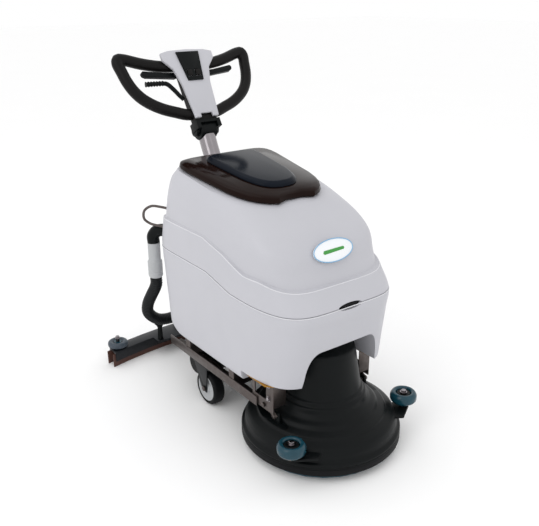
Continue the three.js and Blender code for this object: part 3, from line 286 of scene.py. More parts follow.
# Chromium-plated tube: nearly a mirror with faint polishing clouds.
chrome_tube = surface(
    "chromium_plated_tube", "9C989B", 0.16, "8A8588", metal=1.0, grain=3, relief=0.01, mottle=40, swing=0.05,
)
# Tyre rubber, brown gum rubber, two nylons, blue-green polyurethane, the squeegee's lacquered
# casting, the hose, the battery case and the badge.
tyre_rubber = surface(
    "moulded_tyre_rubber", "07080A", 0.62, "0E0F12", grain=1.6, relief=0.10, mottle=30, gleam=0.16,
)
gum_rubber = surface("gum_rubber_strip", "54332A", 0.60, "462A20", grain=1.5, relief=0.05, mottle=60)
grey_nylon = surface(
    "moulded_grey_nylon", "B4B6B8", 0.42, "A6A8AA", grain=1.4, relief=0.03, mottle=50, gleam=0.4,
)
slate_nylon = surface(
    "moulded_slate_nylon", "46505A", 0.40, "38414A", grain=1.4, relief=0.03, mottle=40, gleam=0.35,
)
teal_urethane = surface(
    "cast_blue_green_polyurethane", "0F3340", 0.24, "164451", grain=3, relief=0.02, mottle=26, coat=0.15,
    gleam=0.3,
)
cast_aluminium = surface(
    "black_lacquered_aluminium_casting", "191B1F", 0.42, "26282C", metal=0.6, grain=1.1, relief=0.08,
    mottle=40,
)
hose_rubber = surface(
    "ribbed_black_pvc_hose", "07090B", 0.40, "101316", grain=2, relief=0.04, mottle=50, gleam=0.2,
)
battery_case = surface(
    "black_polypropylene_battery_case", "191A1C", 0.45, "232527", grain=1.0, relief=0.05, mottle=70,
)
badge_face = surface("printed_badge_film", "F4F6F8", 0.30, "EEF1F4", grain=12, relief=0.01, mottle=60)
badge_rim = surface("light_blue_badge_edge", "7FB2D6", 0.32, "76A8CE", grain=4, relief=0.01, mottle=30)
print(len(bpy.data.materials), "finishes")


# %% Brush fibre and floor
def bristle_finish():
    """Nylon bristle: fibres of about 1 mm, drawn as 4 mm tufts so that they show, running upright."""
    material = surface("crimped_blue_nylon_bristle", "1F3E4C", 0.50, "35606F", grain=4, relief=0.8, mottle=12)
    nodes = material.node_tree.nodes
    stretch = add_node(
        material, "ShaderNodeMapping", {"Scale": (1.0, 1.0, 0.08)},
        {"Vector": nodes["Texture Coordinate"].outputs["Object"]},
    )
    for node in nodes:
        if node.bl_idname == "ShaderNodeTexNoise":
            material.node_tree.links.new(stretch.outputs["Vector"], node.inputs["Vector"])
    return material


bristle = bristle_finish()
studio_floor = surface(
    "matt_studio_floor", "FFFFFF", 0.85, "FDFDFD", grain=8, relief=0.01, mottle=900, gleam=0.1,
)

clear()
bpy.ops.mesh.primitive_plane_add(size=60, location=(0, 0, 0))
floor = bpy.context.object
floor.name = "studio_floor"
floor.data.materials.append(studio_floor)


# %% [markdown]
# ## Ways of making a piece
#
# Most pieces come from a few workshop moves. A turned piece is a profile spun round an axis. A
# pipe is a rod bent along a smooth path. A plate is an outline pushed out to a thickness. A packed
# part with hard edges is copied, its doubled corners merged, and its edges rounded.

# %% Turned pieces
def turned(name, profile, centre, axis="Z", steps=72, crease=35):
    """Spins (radius, height) pairs in millimetres round an axis through `centre`."""
    direction = {"Z": Vector((0, 0, 1)), "X": Vector((1, 0, 0)), "Y": Vector((0, 1, 0))}[axis]
    across = {"Z": Vector((1, 0, 0)), "X": Vector((0, 1, 0)), "Y": Vector((1, 0, 0))}[axis]
    points = [centre + across * r / 1000 + direction * h / 1000 for r, h in profile]
    piece = mesh_piece(name, points, [(i, i + 1) for i in range(len(points) - 1)])
    active(piece)
    bpy.ops.object.mode_set(mode="EDIT")
    bpy.ops.mesh.select_all(action="SELECT")
    bpy.ops.mesh.spin(steps=steps, angle=2 * math.pi, center=centre, axis=direction)
    bpy.ops.object.mode_set(mode="OBJECT")
    return smooth(outward(piece), crease)


def rounded_profile(profile, radius, arc=4):
    """Rounds the inner corners of an open profile with short arcs."""
    soft = [Vector(profile[0])]
    for before, corner, after in zip(profile, profile[1:], profile[2:]):
        a, c, b = Vector(before), Vector(corner), Vector(after)
        reach = min(radius, (a - c).length * 0.45, (b - c).length * 0.45)
        start, end = c + (a - c).normalized() * reach, c + (b - c).normalized() * reach
        for i in range(arc + 1):
            t = i / arc
            soft.append(start * (1 - t) ** 2 + c * 2 * t * (1 - t) + end * t ** 2)
    soft.append(Vector(profile[-1]))
    return [(p.x, p.y) for p in soft]


# %% Pipes
def smooth_path(points, step):
    """Centripetal curve through the points, walked in steps of `step` metres."""
    line = [2 * points[0] - points[1], *points, 2 * points[-1] - points[-2]]
    walked = []
    for p0, p1, p2, p3 in zip(line, line[1:], line[2:], line[3:]):
        t0 = 0.0
        t1 = t0 + max((p1 - p0).length, 1e-6) ** 0.5
        t2 = t1 + max((p2 - p1).length, 1e-6) ** 0.5
        t3 = t2 + max((p3 - p2).length, 1e-6) ** 0.5
        count = max(2, round((p2 - p1).length / step))
        for i in range(count):
            t = t1 + (t2 - t1) * i / count
            a1 = p0 * ((t1 - t) / (t1 - t0)) + p1 * ((t - t0) / (t1 - t0))
            a2 = p1 * ((t2 - t) / (t2 - t1)) + p2 * ((t - t1) / (t2 - t1))
            a3 = p2 * ((t3 - t) / (t3 - t2)) + p3 * ((t - t2) / (t3 - t2))
            b1 = a1 * ((t2 - t) / (t2 - t0)) + a2 * ((t - t0) / (t2 - t0))
            b2 = a2 * ((t3 - t) / (t3 - t1)) + a3 * ((t - t1) / (t3 - t1))
            walked.append(b1 * ((t2 - t) / (t2 - t1)) + b2 * ((t - t1) / (t2 - t1)))
    walked.append(points[-1])
    return walked


def pipe(name, path, radius, sides=24, radii=None):
    """A rod along a path, from a curve with round bevel, made a mesh. Radii scale it point by point."""
    clear()
    curve = bpy.data.curves.new(name, "CURVE")
    curve.dimensions = "3D"
    curve.bevel_depth = radius / 1000
    curve.bevel_resolution = sides // 4
    curve.use_fill_caps = True
    curve.twist_mode = "MINIMUM"
    spline = curve.splines.new("POLY")
    spline.points.add(len(path) - 1)
    for i, p in enumerate(path):
        spline.points[i].co = (*p, 1)
        spline.points[i].radius = radii[i] if radii else 1.0
    piece = bpy.data.objects.new(name, curve)
    bpy.context.scene.collection.objects.link(piece)
    active(piece)
    bpy.ops.object.convert(target="MESH")
    return smooth(outward(bpy.context.object), 50)


# %% Plates, blocks, cuts and rounded copies
def plate(name, outline, push, bevel=1.0, segments=2):
    """An outline of points pushed out along `push`, with its edges bevelled."""
    piece = mesh_piece(name, outline, faces=[tuple(range(len(outline)))])
    active(piece)
    bpy.ops.object.mode_set(mode="EDIT")
    bpy.ops.mesh.select_all(action="SELECT")
    bpy.ops.mesh.extrude_region_move(TRANSFORM_OT_translate={"value": push})
    bpy.ops.object.mode_set(mode="OBJECT")
    outward(piece)
    return bevelled(piece, bevel, segments) if bevel else smooth(piece)


def block(name, low_corner, high_corner, bevel=0.0):
    clear()
    middle = (low_corner + high_corner) / 2
    bpy.ops.mesh.primitive_cube_add(size=1, location=middle, scale=high_corner - low_corner)
    piece = bpy.context.object
    piece.name = name
    bpy.ops.object.transform_apply(location=True, rotation=True, scale=True)
    return bevelled(piece, bevel) if bevel else piece


def cut(piece, *tools, how="DIFFERENCE"):
    for tool in tools:
        modifier = piece.modifiers.new("cut", "BOOLEAN")
        modifier.operation = how
        modifier.solver = "EXACT"
        modifier.object = tool
        apply_modifiers(piece)
        bpy.data.objects.remove(tool)
    return piece


def rounded_copy(node, name, width=1.0, segments=2, degrees=38):
    """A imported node's own shape with its edges rounded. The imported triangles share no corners, so
    they are merged, and flat fields are made single faces before the bevel."""
    piece = bpy.data.objects.new(name, frame["nodes"][node].data.copy())
    bpy.context.scene.collection.objects.link(piece)
    piece.data.materials.clear()
    active(piece)
    bpy.ops.object.mode_set(mode="EDIT")
    bpy.ops.mesh.select_all(action="SELECT")
    bpy.ops.mesh.remove_doubles(threshold=1e-5)
    bpy.ops.mesh.dissolve_limited(angle_limit=math.radians(2))
    bpy.ops.object.mode_set(mode="OBJECT")
    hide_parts(node)
    return bevelled(piece, width, segments, degrees) if width else smooth(piece)


def dress(piece, material, body):
    piece.data.materials.clear()
    piece.data.materials.append(material)
    if body:
        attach(piece, body)
    return piece


# %% [markdown]
# ## Suction hose
#
# A ribbed hose carries the dirty water from the squeegee up to the tank. It hangs from the cuff
# behind the tank, sweeps down and forward, and drops into the squeegee's nozzle. It is stiff
# enough to hold a wide bend. Its ribs are a ring of swellings along one smooth path.

# %% Hose
hose_route = [at(*p) for p in (
    (CUFF_X, CUFF_Y, 397.7), (CUFF_X, CUFF_Y, 372), (-224, 664, 350), (-230, 684, 316), (-236, 706, 274),
    (-230, 722, 236), (-208, 731, 206), (-180, 734, 186), (-140, 738, 176), (-100, 746, 174),
    (-60, 757, 177), (-26, 770, 192), (-6, 777, 190), (0, 778, 172), (0, 778, 152.3),
)]
hose_path = smooth_path(hose_route, 0.0016)
ribs, walked = [], 0.0
for before, here in zip([hose_path[0], *hose_path], hose_path):
    walked += (here - before).length
    ribs.append(0.965 + 0.035 * math.cos(walked / 0.0075 * 2 * math.pi))
hose = pipe("ribbed_suction_hose", hose_path, 22, 24, ribs)
dress(hose, hose_rubber, None)
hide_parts("suction_hose")
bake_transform(hose)

# %% [markdown]
# ## Tanks
#
# Both tanks are rotomoulded: powder melts onto the inside of a hot mould, so every edge is soft
# and the walls are one skin. Each is drawn as upright columns of points round the plan. A column
# runs up through a few measured levels, and where it crosses the stepped ledge it slides smoothly
# from the wide outline to the narrower one above it.


# %% Levels of the two skins
def level(yf, zf, yr, zr, half, nose=5.0):
    return {"yf": yf, "zf": zf, "yr": yr, "zr": zr, "half": half, "nose": nose}


wide = [
    level(-76, 230, 582, 230, 223), level(-88, 244, 588, 240, 230), level(-102, 350, 602, 360, 233),
    level(-114, 440, 614, 460, 234), level(-120, 500, 622, 548, 235), level(-78, 562, 612, 600, 234),
    level(-40, 640, 600, 668, 231),
]
narrow = [
    level(-106, 470, 612, 530, 225), level(-68, 554, 604, 600, 225), level(-48, 600, 592, 660, 226),
    level(-27, 656, 576, 722, 225), level(20, 694, 566, 765, 218), level(70, 722, 556, 790, 211, 4),
    level(108, 744, 548, 804, 201, 3.2), level(128, 756, 547, 813, 191, 2.8),
]


def ring_point(lv, turn, inset):
    y0, y1 = lv["yf"] + inset, lv["yr"] - inset
    middle = y0 + (y1 - y0) * 0.55
    c, s = math.cos(turn), math.sin(turn)
    power = lv["nose"] if s < 0 else 9
    x = (lv["half"] - inset) * math.copysign(abs(c) ** (2 / power), c)
    y = middle + (middle - y0 if s < 0 else y1 - middle) * math.copysign(abs(s) ** (2 / power), s)
    return Vector((x, y, lv["zf"] + (lv["zr"] - lv["zf"]) * (y - lv["yf"]) / (lv["yr"] - lv["yf"])))


def climb(column, z):
    """The point of a column at height z, on a curve through its levels."""
    k = max(
        0,
        min(
            len(column) - 2,
            next((i for i in range(len(column) - 1) if z <= column[i + 1].z), len(column) - 2),
        ),
    )
    a, b = column[k], column[k + 1]
    before, after = column[max(k - 1, 0)], column[min(k + 2, len(column) - 1)]
    t = (z - a.z) / (b.z - a.z)
    tangent_a = (b - before) / max(b.z - before.z, 1) * (b.z - a.z)
    tangent_b = (after - a) / max(after.z - a.z, 1) * (b.z - a.z)
    p = (
        a * (2 * t ** 3 - 3 * t ** 2 + 1) + tangent_a * (t ** 3 - 2 * t ** 2 + t)
        + b * (-2 * t ** 3 + 3 * t ** 2) + tangent_b * (t ** 3 - t ** 2)
    )
    return Vector((p.x, p.y, z))


def along(path, y):
    if y <= path[0][0]:
        return path[0][1]
    for (ya, za), (yb, zb) in zip(path, path[1:]):
        if y <= yb:
            t = (y - ya) / (yb - ya)
            return za + (zb - za) * t
    return path[-1][1]


def eased(path, y, reach=14):
    """The path's height with its corners rounded over `reach` mm either way."""
    return sum(along(path, y + reach * i / 4) for i in range(-4, 5)) / 9


parting_line = [(60, 500), (227, 506), (289, 536)]
ledge_line = [(-90, 554), (20, 580), (90, 580), (196, 619), (262, 641)]


def shell(name, turns, rows, point):
    """A closed skin of `rows` rings with `turns` points each, capped at both ends."""
    grid = [point(2 * math.pi * i / turns, r) for r in rows for i in range(turns)]
    faces = []
    for r in range(len(rows) - 1):
        for i in range(turns):
            j = (i + 1) % turns
            faces.append((r * turns + i, r * turns + j, (r + 1) * turns + j, (r + 1) * turns + i))
    faces.append(tuple(reversed(range(turns))))
    faces.append(tuple(range((len(rows) - 1) * turns, len(rows) * turns)))
    return mesh_piece(name, [at(*p) for p in grid], faces=faces)


# %% Skins at any height
def even_turn(turn):
    """Spreads the points so that the square corners get their share."""
    return turn + 0.22 * math.sin(4 * turn)


def lower_skin(turn, row, lift=0):
    turn = even_turn(turn)
    column = [ring_point(lv, turn, 0) for lv in wide]
    joint = eased(parting_line, column[4].y) + lift
    if row > 1:
        return climb([ring_point(lv, turn, 3) for lv in wide], joint)
    return climb(column, column[0].z + (joint - 3 - column[0].z) * row)


def upper_skin(turn, row, inset=0, floor_lift=2.0, roof_drop=0.0):
    """Row 0 is the joint line, row 1 is the ledge and row 2 is the rim of the lid's seat."""
    turn = even_turn(turn)
    outer = [ring_point(lv, turn, inset) for lv in wide]
    inner = [ring_point(lv, turn, inset) for lv in narrow]
    foot = eased(parting_line, outer[4].y) + floor_lift
    ledge = eased(ledge_line, outer[5].y)
    roof = inner[-1].z - roof_drop
    z = foot + (ledge - foot) * row if row < 1 else ledge + (roof - ledge) * (row - 1)
    t = max(0.0, min(1.0, (z - ledge + 2) / 6))
    t = t * t * (3 - 2 * t)
    near, far = climb(outer, min(z, outer[-1].z)), climb(inner, z)
    near.z = z
    return near.lerp(far, t)


print("ledge runs from", ledge_line[0], "to", ledge_line[-1])


# %% [markdown]
# The lower tank straddles the brush motor, so an arch is cut from its front. The battery bay is
# cut from its top, and a channel from its tail lets the column through. The cuts are boolean
# modifiers with plain shapes, applied one after the other.

# %% Lower tank
rows = [0, 0.02, 0.05] + [0.05 + 0.95 * i / 26 for i in range(1, 27)] + [2]
lower = shell("solution_tank_moulding", 192, rows, lower_skin)
outward(lower)


def arch_cutter(grow=0.0):
    half, top, corner = 138 + grow, 372 + grow, 46 + grow
    side = [(-half - 26, 170), (half + 26, 170), (half + 6, top - corner - 40)]
    bend = []
    for i in range(1, 9):
        t = i / 8
        a, c, b = Vector((half + 6, top - corner - 40)), Vector((half - 2, top)), Vector((half - corner, top))
        bend.append(tuple(a * (1 - t) ** 2 + c * 2 * t * (1 - t) + b * t ** 2))
    outline = side + bend + [(-x, z) for x, z in reversed(bend)] + [(-half - 6, top - corner - 40)]
    return plate("arch_cutter", [at(x, -400, z) for x, z in outline], (0, 0.565 + grow / 1000, 0), 0)


def straight_cutter(low_corner, high_corner):
    return block("cutter", at(*low_corner), at(*high_corner))


tail_outline = [(470, 225), (590, 279), (900, 279), (900, 0), (470, 0)]
tail_cutter = plate("tail_cutter", [at(-500, y, z) for y, z in tail_outline], (1, 0, 0), 0)
cut(
    lower,
    arch_cutter(),
    straight_cutter((-43, 543, 0), (43, 900, 900)),
    tail_cutter,
    straight_cutter((-128, 250, 250), (128, 470, 900)),
    straight_cutter((-400, -400, 0), (400, 112, 262)),
)
outward(lower)
bevelled(lower, 3.0, 3, 50)
dress(lower, rotomoulded_pe, "chassis")
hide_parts("solution_tank")
print("lower tank", len(lower.data.polygons), "faces")

# %% Upper tank
rows = [0, 0.02, 0.06] + [0.06 + 0.80 * i / 10 for i in range(1, 11)] + [0.90, 0.94, 0.98]
rows += [0.99, 1.0, 1.006, 1.012, 1.018, 1.024, 1.032] + [1.04 + 0.96 * i / 27 for i in range(1, 28)]
upper = outward(shell("recovery_tank_moulding", 192, rows, upper_skin))
hollow_rows = [0.0, 0.5, 1.0] + [1 + i / 10 for i in range(1, 11)]
hollow = outward(shell("hollow", 96, hollow_rows, lambda turn, row: upper_skin(turn, row, 14, 8.0, 14)))


def upright_cutter(radius, x, y, z0, z1, sides=96):
    clear()
    bpy.ops.mesh.primitive_cylinder_add(
        vertices=sides, radius=radius / 1000, depth=(z1 - z0) / 1000, location=at(x, y, (z0 + z1) / 2),
    )
    bpy.ops.object.transform_apply(location=True, rotation=True, scale=True)
    return bpy.context.object


cut(upper, hollow, upright_cutter(128, 0, 350, 700, 1100), straight_cutter((-43, 543, 0), (43, 900, 1100)))
outward(upper)
bevelled(upper, 2.5, 3, 50)
dress(upper, rotomoulded_pe, "recovery_tank")
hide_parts("recovery_tank")
print("upper tank", len(upper.data.polygons), "faces")

# %% [markdown]
# The mould leaves a thin flash along the joint line and along the ledge, trimmed to a bead about
# 3 mm wide. The bead's colour is lighter than the tank's, as a painted highlight along both ridges.
# The beads are left off where the finger slot is.


# %% Beads with a painted highlight
def bead(name, points, radius, rides):
    front = [p for p in points if not (abs(p.x) < SLOT_HALF + 10 and p.y < 0)]
    start = max(range(len(front)), key=lambda i: (front[i] - front[i - 1]).length)
    path = front[start:] + front[:start]
    dress(pipe(name, [at(*p) for p in path], radius, 8), ridge_highlight_paint, rides)


# Lighter than the tank's own colour: a painted highlight along the joint and ledge ridges.
ridge_highlight_paint = surface("painted_ridge_highlight", "DCDCE0", 0.35, "D4D4D8", grain=5, relief=0.03, mottle=90)
joint_turns = [2 * math.pi * i / 240 for i in range(240)]
bead("joint_bead", [lower_skin(turn, 1, 1.2) for turn in joint_turns], 1.5, "chassis")
bead("ledge_bead", [upper_skin(turn, 0.992, 0.4) for turn in joint_turns], 1.6, "recovery_tank")
print("beads along", len(joint_turns), "points")

# %% [markdown]
# A fingertip slot sits on the joint line at the nose, where the upper tank is lifted. It is a
# lens-shaped pocket through both tanks with a dark rubber backing set a little deeper.

# %% Finger slot
def lens(name, half, y, deep, tall):
    clear()
    bpy.ops.mesh.primitive_uv_sphere_add(
        segments=48, ring_count=24, radius=1, location=at(0, y, SLOT_Z),
        scale=(half / 1000, deep / 1000, tall / 1000),
    )
    bpy.context.object.name = name
    bpy.ops.object.transform_apply(location=True, rotation=True, scale=True)
    return bpy.context.object


cut(lower, lens("slot_cutter", SLOT_HALF, -120, 16, 10))
cut(upper, lens("slot_cutter", SLOT_HALF, -120, 16, 10))
smooth(lower, 32)
smooth(upper, 32)
slot_back = smooth(lens("slot_backing", SLOT_HALF, -109, 9, 11), 60)
dress(slot_back, tyre_rubber, "chassis")
print("slot cut")

# %% [markdown]
# ## Lid
#
# The lid is injection moulded in smoked ABS and polished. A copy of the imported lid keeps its
# pear-shaped outline, and a wide bevel gives the rolled edge that catches a line of light.

# %% Lid and window
lid = dress(rounded_copy("lid", "lid_cover", 4.5, 4, 30), smoked_abs, "lid")
dress(rounded_copy("lid_window", "lid_window_panel", 3.0, 3, 22), window_abs, "lid")
print("lid", len(lid.data.polygons), "faces")

# %% [markdown]
# ## Badge
#
# The badge is a plain oval film with a light blue edge and a single green stripe, which stands
# for no maker.

# %% Badge
dress(rounded_copy("front_badge", "oval_badge", 0.6, 2), badge_face, "recovery_tank")


def on_badge(x, out, z):
    y = -2 - out
    c, s = math.cos(-0.42), math.sin(-0.42)
    return at(x, -38 + y * c - z * s, 648 + y * s + z * c)


edge_path = [
    on_badge(74 * math.cos(t * math.pi / 40), 0, 33.2 * math.sin(t * math.pi / 40))
    for t in range(81)
]
dress(pipe("badge_edge", edge_path, 1.5, 12), badge_rim, "recovery_tank")
green_film = surface("printed_green_film", "3E9A3C", 0.35, "358A38", grain=4, relief=0.01, mottle=30)
stripe_outline = [
    on_badge(x, 0.1, z)
    for x, z in ((-40, -3), (-36, -7), (38, -4), (42, 0), (38, 5), (-36, 4))
]
stripe = plate("badge_stripe", stripe_outline, (0, -0.0005, 0.0002), 0)
dress(stripe, green_film, "recovery_tank")
print("badge", len(edge_path), "points round")

# %% [markdown]
# ## Brush deck
#
# The deck is one polypropylene moulding: a tall motor hood that flares through two rings into a
# flat cone and a rim. It is turned from a profile whose corners are rounded. Flats and lugs for
# the links are cut and added after the turning, as a moulder would add them to the tool.

# %% Deck housing
bell_profile = [
    (0, 342), (78, 342), (
        101, 332,
    ), (106, 312), (124, 196), (131, 192), (133, 180), (141, 176), (144, 160), (156, 148),
    (
        172, 140,
    ), (180, 130), (203, 121), (207, 114), (229, 104), (236, 98), (242, 84), (244, 66), (252, 62), (255, 58),
    (255, 54), (
        252.5, 52,
    ), (255, 50), (255, 46), (249, 46), (239, 58), (233, 84), (166, 122), (134, 144), (122, 172),
    (105, 282), (94, 322), (78, 334), (0, 334),
]
bell = turned("deck_housing_moulding", rounded_profile(bell_profile, 4.5), at(0, 0, 0), "Z", 96, 60)
flats = []
for side in (-1, 1):
    for reach, y0, y1, z in ((174, -60, 50, 122), (150, 40, 300, 120)):
        x0, x1 = sorted((side * reach, side * 400))
        flats.append(straight_cutter((x0, y0, z), (x1, y1, 400)))
    flats.append(straight_cutter((side * 86 - 14, 122, 122), (side * 86 + 14, 260, 300)))
cut(bell, *flats)
smooth(bell, 32)
dress(bell, black_pp, "deck")
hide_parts("deck_housing")
print("deck", len(bell.data.polygons), "faces")

# %% Lugs, roller arms and skirt
for side, x, y in ((1, 181, -3.41), (-1, 181, -3.41), (1, 78, 137.59), (-1, 78, 137.59)):
    outline = [
        at(side * x - 4, y - 26, 90), at(side * x - 4, y + 26, 90), at(side * x - 4, y + 11, 154),
        at(side * x - 4, y - 11, 154),
    ]
    lug = plate(f"deck_lug_{x}_{'right' if side > 0 else 'left'}", outline, (0.008, 0, 0), 1.5)
    dress(lug, black_pp, "deck")
arm_plan = ((150, 38), (178, 56), (236, 22), (246, 0), (232, -20), (200, -28))
for side, word in ((1, "right"), (-1, "left")):
    outline = [at(side * x, ROLLER_Y - forward, 88) for x, forward in arm_plan]
    dress(plate(f"roller_arm_{word}", outline, (0, 0, 0.008), 2, 3), black_pp, "deck")
    pin = turned(
        f"roller_pin_{word}", [(0, 88), (14, 88), (14, 105), (7, 105), (7, 138), (0, 138)],
        at(side * ROLLER_X, ROLLER_Y, 0), "Z", 40,
    )
    dress(pin, zinc_plate, "deck")
skirt = turned(
    "rubber_skirt", [(250, 24), (253, 24), (255, 27), (255, 45.7), (250, 45.7), (250, 24)], at(0, 0, 0),
    "Z", 96,
)
dress(skirt, tyre_rubber, "deck")
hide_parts("deck_skirt")
print("deck trim made")


# %% [markdown]
# ## Corner rollers, wheels and bolts
#
# The corner rollers are cast polyurethane tyres on black hubs. The fixed wheels carry a rubber
# tyre on a grey rim. Both are turned. Every visible bolt is one hexagon head with a washer.

# %% Bolts
def bolt(name, place, axis, across, tall, body, finish=None):
    """A hexagon head with a domed top and a washer under it, pointing along an axis letter."""
    sign = -1 if axis.startswith("-") else 1
    letter = axis[-1]
    turn = {
        "Z": Matrix.Identity(3), "X": Matrix.Rotation(math.pi / 2, 3, "Y"),
        "Y": Matrix.Rotation(-math.pi / 2, 3, "X"),
    }[letter]
    head = []
    for r, h in (
        (across * 0.5, 1.5), (across * 0.577, 2.2), (across * 0.577, tall - 1), (across * 0.48, tall),
    ):
        head.append(
            [Vector((r * math.cos(i * math.pi / 3), r * math.sin(i * math.pi / 3), h)) for i in range(6)]
        )
    washer = [
        [
            Vector(
                (across * 0.78 * math.cos(i * math.pi / 12), across * 0.78 * math.sin(i * math.pi / 12), h)
            )
            for i in range(24)
        ]
        for h in (-0.5, 1.6)
    ]
    points, faces = [], []
    for stack in (head, washer):
        count = len(stack[0])
        base = len(points)
        points += [p for ring in stack for p in ring]
        for r in range(len(stack) - 1):
            for i in range(count):
                j = (i + 1) % count
                faces.append(
                    (
                        base + r * count + i, base + r * count + j, base + (r + 1) * count + j,
                        base + (r + 1) * count + i,
                    )
                )
        faces.append(tuple(base + i for i in reversed(range(count))))
        faces.append(tuple(base + (len(stack) - 1) * count + i for i in range(count)))
    piece = mesh_piece(name, [place + (turn @ p) * sign / 1000 for p in points], faces=faces)
    smooth(outward(piece), 25)
    return dress(piece, finish or chrome_tube, body)


# %% Corner rollers
tread_profile = [(24, -17), (36, -18), (43, -10), (43, 8), (36, 17), (28, 17), (24, 13), (24, -17)]
hub_profile = [(7.5, -16), (23.6, -16), (23.6, 10), (20, 13), (12, 11), (7.5, 11), (7.5, -16)]
for side, word in ((1, "right"), (-1, "left")):
    centre = at(side * ROLLER_X, ROLLER_Y, ROLLER_Z)
    tread = turned(f"roller_tread_{word}", rounded_profile(tread_profile, 5, 5), centre, "Z", 64, 50)
    dress(tread, teal_urethane, f"bumper_{word}")
    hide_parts(f"bumper_roller_{word}")
    hub = turned(f"roller_hub_{word}", rounded_profile(hub_profile, 1.5, 3), centre, "Z", 48, 40)
    dress(hub, black_pp, f"bumper_{word}")
    bolt(f"roller_bolt_{word}", at(side * ROLLER_X, ROLLER_Y, ROLLER_Z + 14), "Z", 15, 8, "deck")

# %% Wheels
tyre_profile = [(47.8, -20), (56, -21.5), (62.5, -15), (62.5, 15), (56, 21.5), (47.8, 20), (47.8, -20)]
rim_profile = [
    (6.5, -22), (17, -22), (20, -14), (40, -13), (43, -20.5), (
        47.5, -20.5,
    ), (47.5, 20.5), (43, 20.5), (40, 13),
    (20, 14), (17, 22), (6.5, 22), (6.5, -22),
]
for side, word in ((1, "right"), (-1, "left")):
    centre = at(side * WHEEL_X, WHEEL_Y, WHEEL_RADIUS)
    tyre = turned(f"wheel_tread_{word}", rounded_profile(tyre_profile, 6, 5), centre, "X", 72, 50)
    dress(tyre, tyre_rubber, f"wheel_{word}")
    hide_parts(f"wheel_tyre_{word}")
    rim = turned(f"wheel_rim_{word}", rounded_profile(rim_profile, 2.5, 3), centre, "X", 64, 45)
    dress(rim, grey_nylon, f"wheel_{word}")
    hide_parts(f"wheel_hub_{word}")
    dress(rounded_copy(f"caster_fork_{word}", f"fork_{word}", 0.8), powder_coat, "chassis")
    dress(
        rounded_copy(f"caster_axle_{word}", f"axle_{word}", 0.6), zinc_plate, "chassis",
    )
tail_profile = [(5.5, -13), (33, -13), (37.5, -8), (37.5, 8), (33, 13), (5.5, 13), (5.5, -13)]
tail_tyre = turned("tail_wheel_tread", rounded_profile(tail_profile, 3, 4), at(0, 662, 37.5), "X", 56, 50)
dress(tail_tyre, grey_nylon, "tail_wheel")
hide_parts("tail_caster_wheel")
dress(rounded_copy("tail_caster_fork", "tail_fork_plates", 0.8), zinc_plate, "tail_fork")
print("wheels turned")

# %% [markdown]
# ## Folded steel
#
# The chassis, brackets and links are folded and drilled plates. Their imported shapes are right, so
# copies with edges broken by a small bevel are enough. Each bracket's top and the shelf plate on
# it are passivated yellow.

# %% Brackets, links, pedal and frame
for word in ("right", "left"):
    bracket = dress(
        rounded_copy(f"leg_bracket_{word}", f"bracket_{word}", 0.8), zinc_plate, "chassis",
    )
    bracket.data.materials.append(yellow_zinc)
    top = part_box(f"leg_bracket_{word}")[1][2]
    for face in bracket.data.polygons:
        if face.center.z > top - 0.0034 and abs(face.center.x) < 0.199:
            face.material_index = 1
    dress(
        rounded_copy(f"deck_link_{word}", f"link_{word}", 0.8), zinc_plate, "deck_links",
    )
    side = 1 if word == "right" else -1
    shelf_plan = ((150, -34), (206, -27), (227, -6), (228.5, 84), (150, 84))
    shelf = plate(
        f"bracket_shelf_{word}", [at(side * x, y, 258.6) for x, y in shelf_plan], (0, 0, 0.003), 0.6,
    )
    dress(shelf, yellow_zinc, "chassis")
    for i, (y, z) in enumerate(((10, 246), (80, 246), (10, 200))):
        bolt(f"bracket_bolt_{word}_{i}", at(side * 200, y, z), "X" if side > 0 else "-X", 11, 7, "chassis")
dress(rounded_copy("deck_link_rear", "rear_link_plates", 0.8), zinc_plate, "rear_link")
dress(rounded_copy("deck_pedal", "lift_pedal", 1.2), powder_coat, "deck_pedal")
dress(rounded_copy("chassis_frame", "frame_rails", 0.7), zinc_plate, "chassis")
print("steel parts copied")

# %% [markdown]
# ## Column and handle
#
# The column is a chromed tube with one bend. The loop handle is moulded round a spine, so the two
# side bars and the spine are joined, remeshed as one skin and smoothed, which gives the fillets
# that a moulded handle has. Everything above the tube leans back with the head.

# %% Column
TUBE_LEAN = math.radians(25)


def down_tube(distance):
    return at(0, TILT_Y - math.sin(TUBE_LEAN) * distance, TILT_Z - math.cos(TUBE_LEAN) * distance)


column_path = smooth_path(
    [
        at(0, COLUMN_Y, 162.4), at(0, COLUMN_Y, 400), at(0, COLUMN_Y, 702), at(0, COLUMN_Y + 1, 742),
        down_tube(110), down_tube(60), down_tube(20),
    ], 0.01,
)
column = dress(
    pipe("chromed_column", column_path, COLUMN_RADIUS, 48), chrome_tube, "chassis",
)
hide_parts("column_tube")

# %% Loop handle
HANDLE_LEAN = math.radians(32)


def leaning(x, y, z):
    c, s = math.cos(HANDLE_LEAN), math.sin(HANDLE_LEAN)
    return at(x, y * c + z * s + HANDLE_Y, z * c - y * s + HANDLE_Z)


loop_points = (
    (20, 28), (60, 30), (97, 42), (140, 58), (176, 78), (
        206, 103,
    ), (226, 131), (240, 166), (248, 205), (253, 234),
    (248, 247), (230, 246), (165, 226), (100, 213), (20, 208),
)


def leaning_block(name, low_corner, high_corner):
    corners = [
        (x, y, z)
        for x in (
            low_corner[0], high_corner[0],
        ) for y in (low_corner[1], high_corner[1]) for z in (low_corner[2], high_corner[2])
    ]
    faces = [(0, 1, 3, 2), (4, 6, 7, 5), (0, 4, 5, 1), (2, 3, 7, 6), (0, 2, 6, 4), (1, 5, 7, 3)]
    return outward(mesh_piece(name, [leaning(*p) for p in corners], faces=faces))


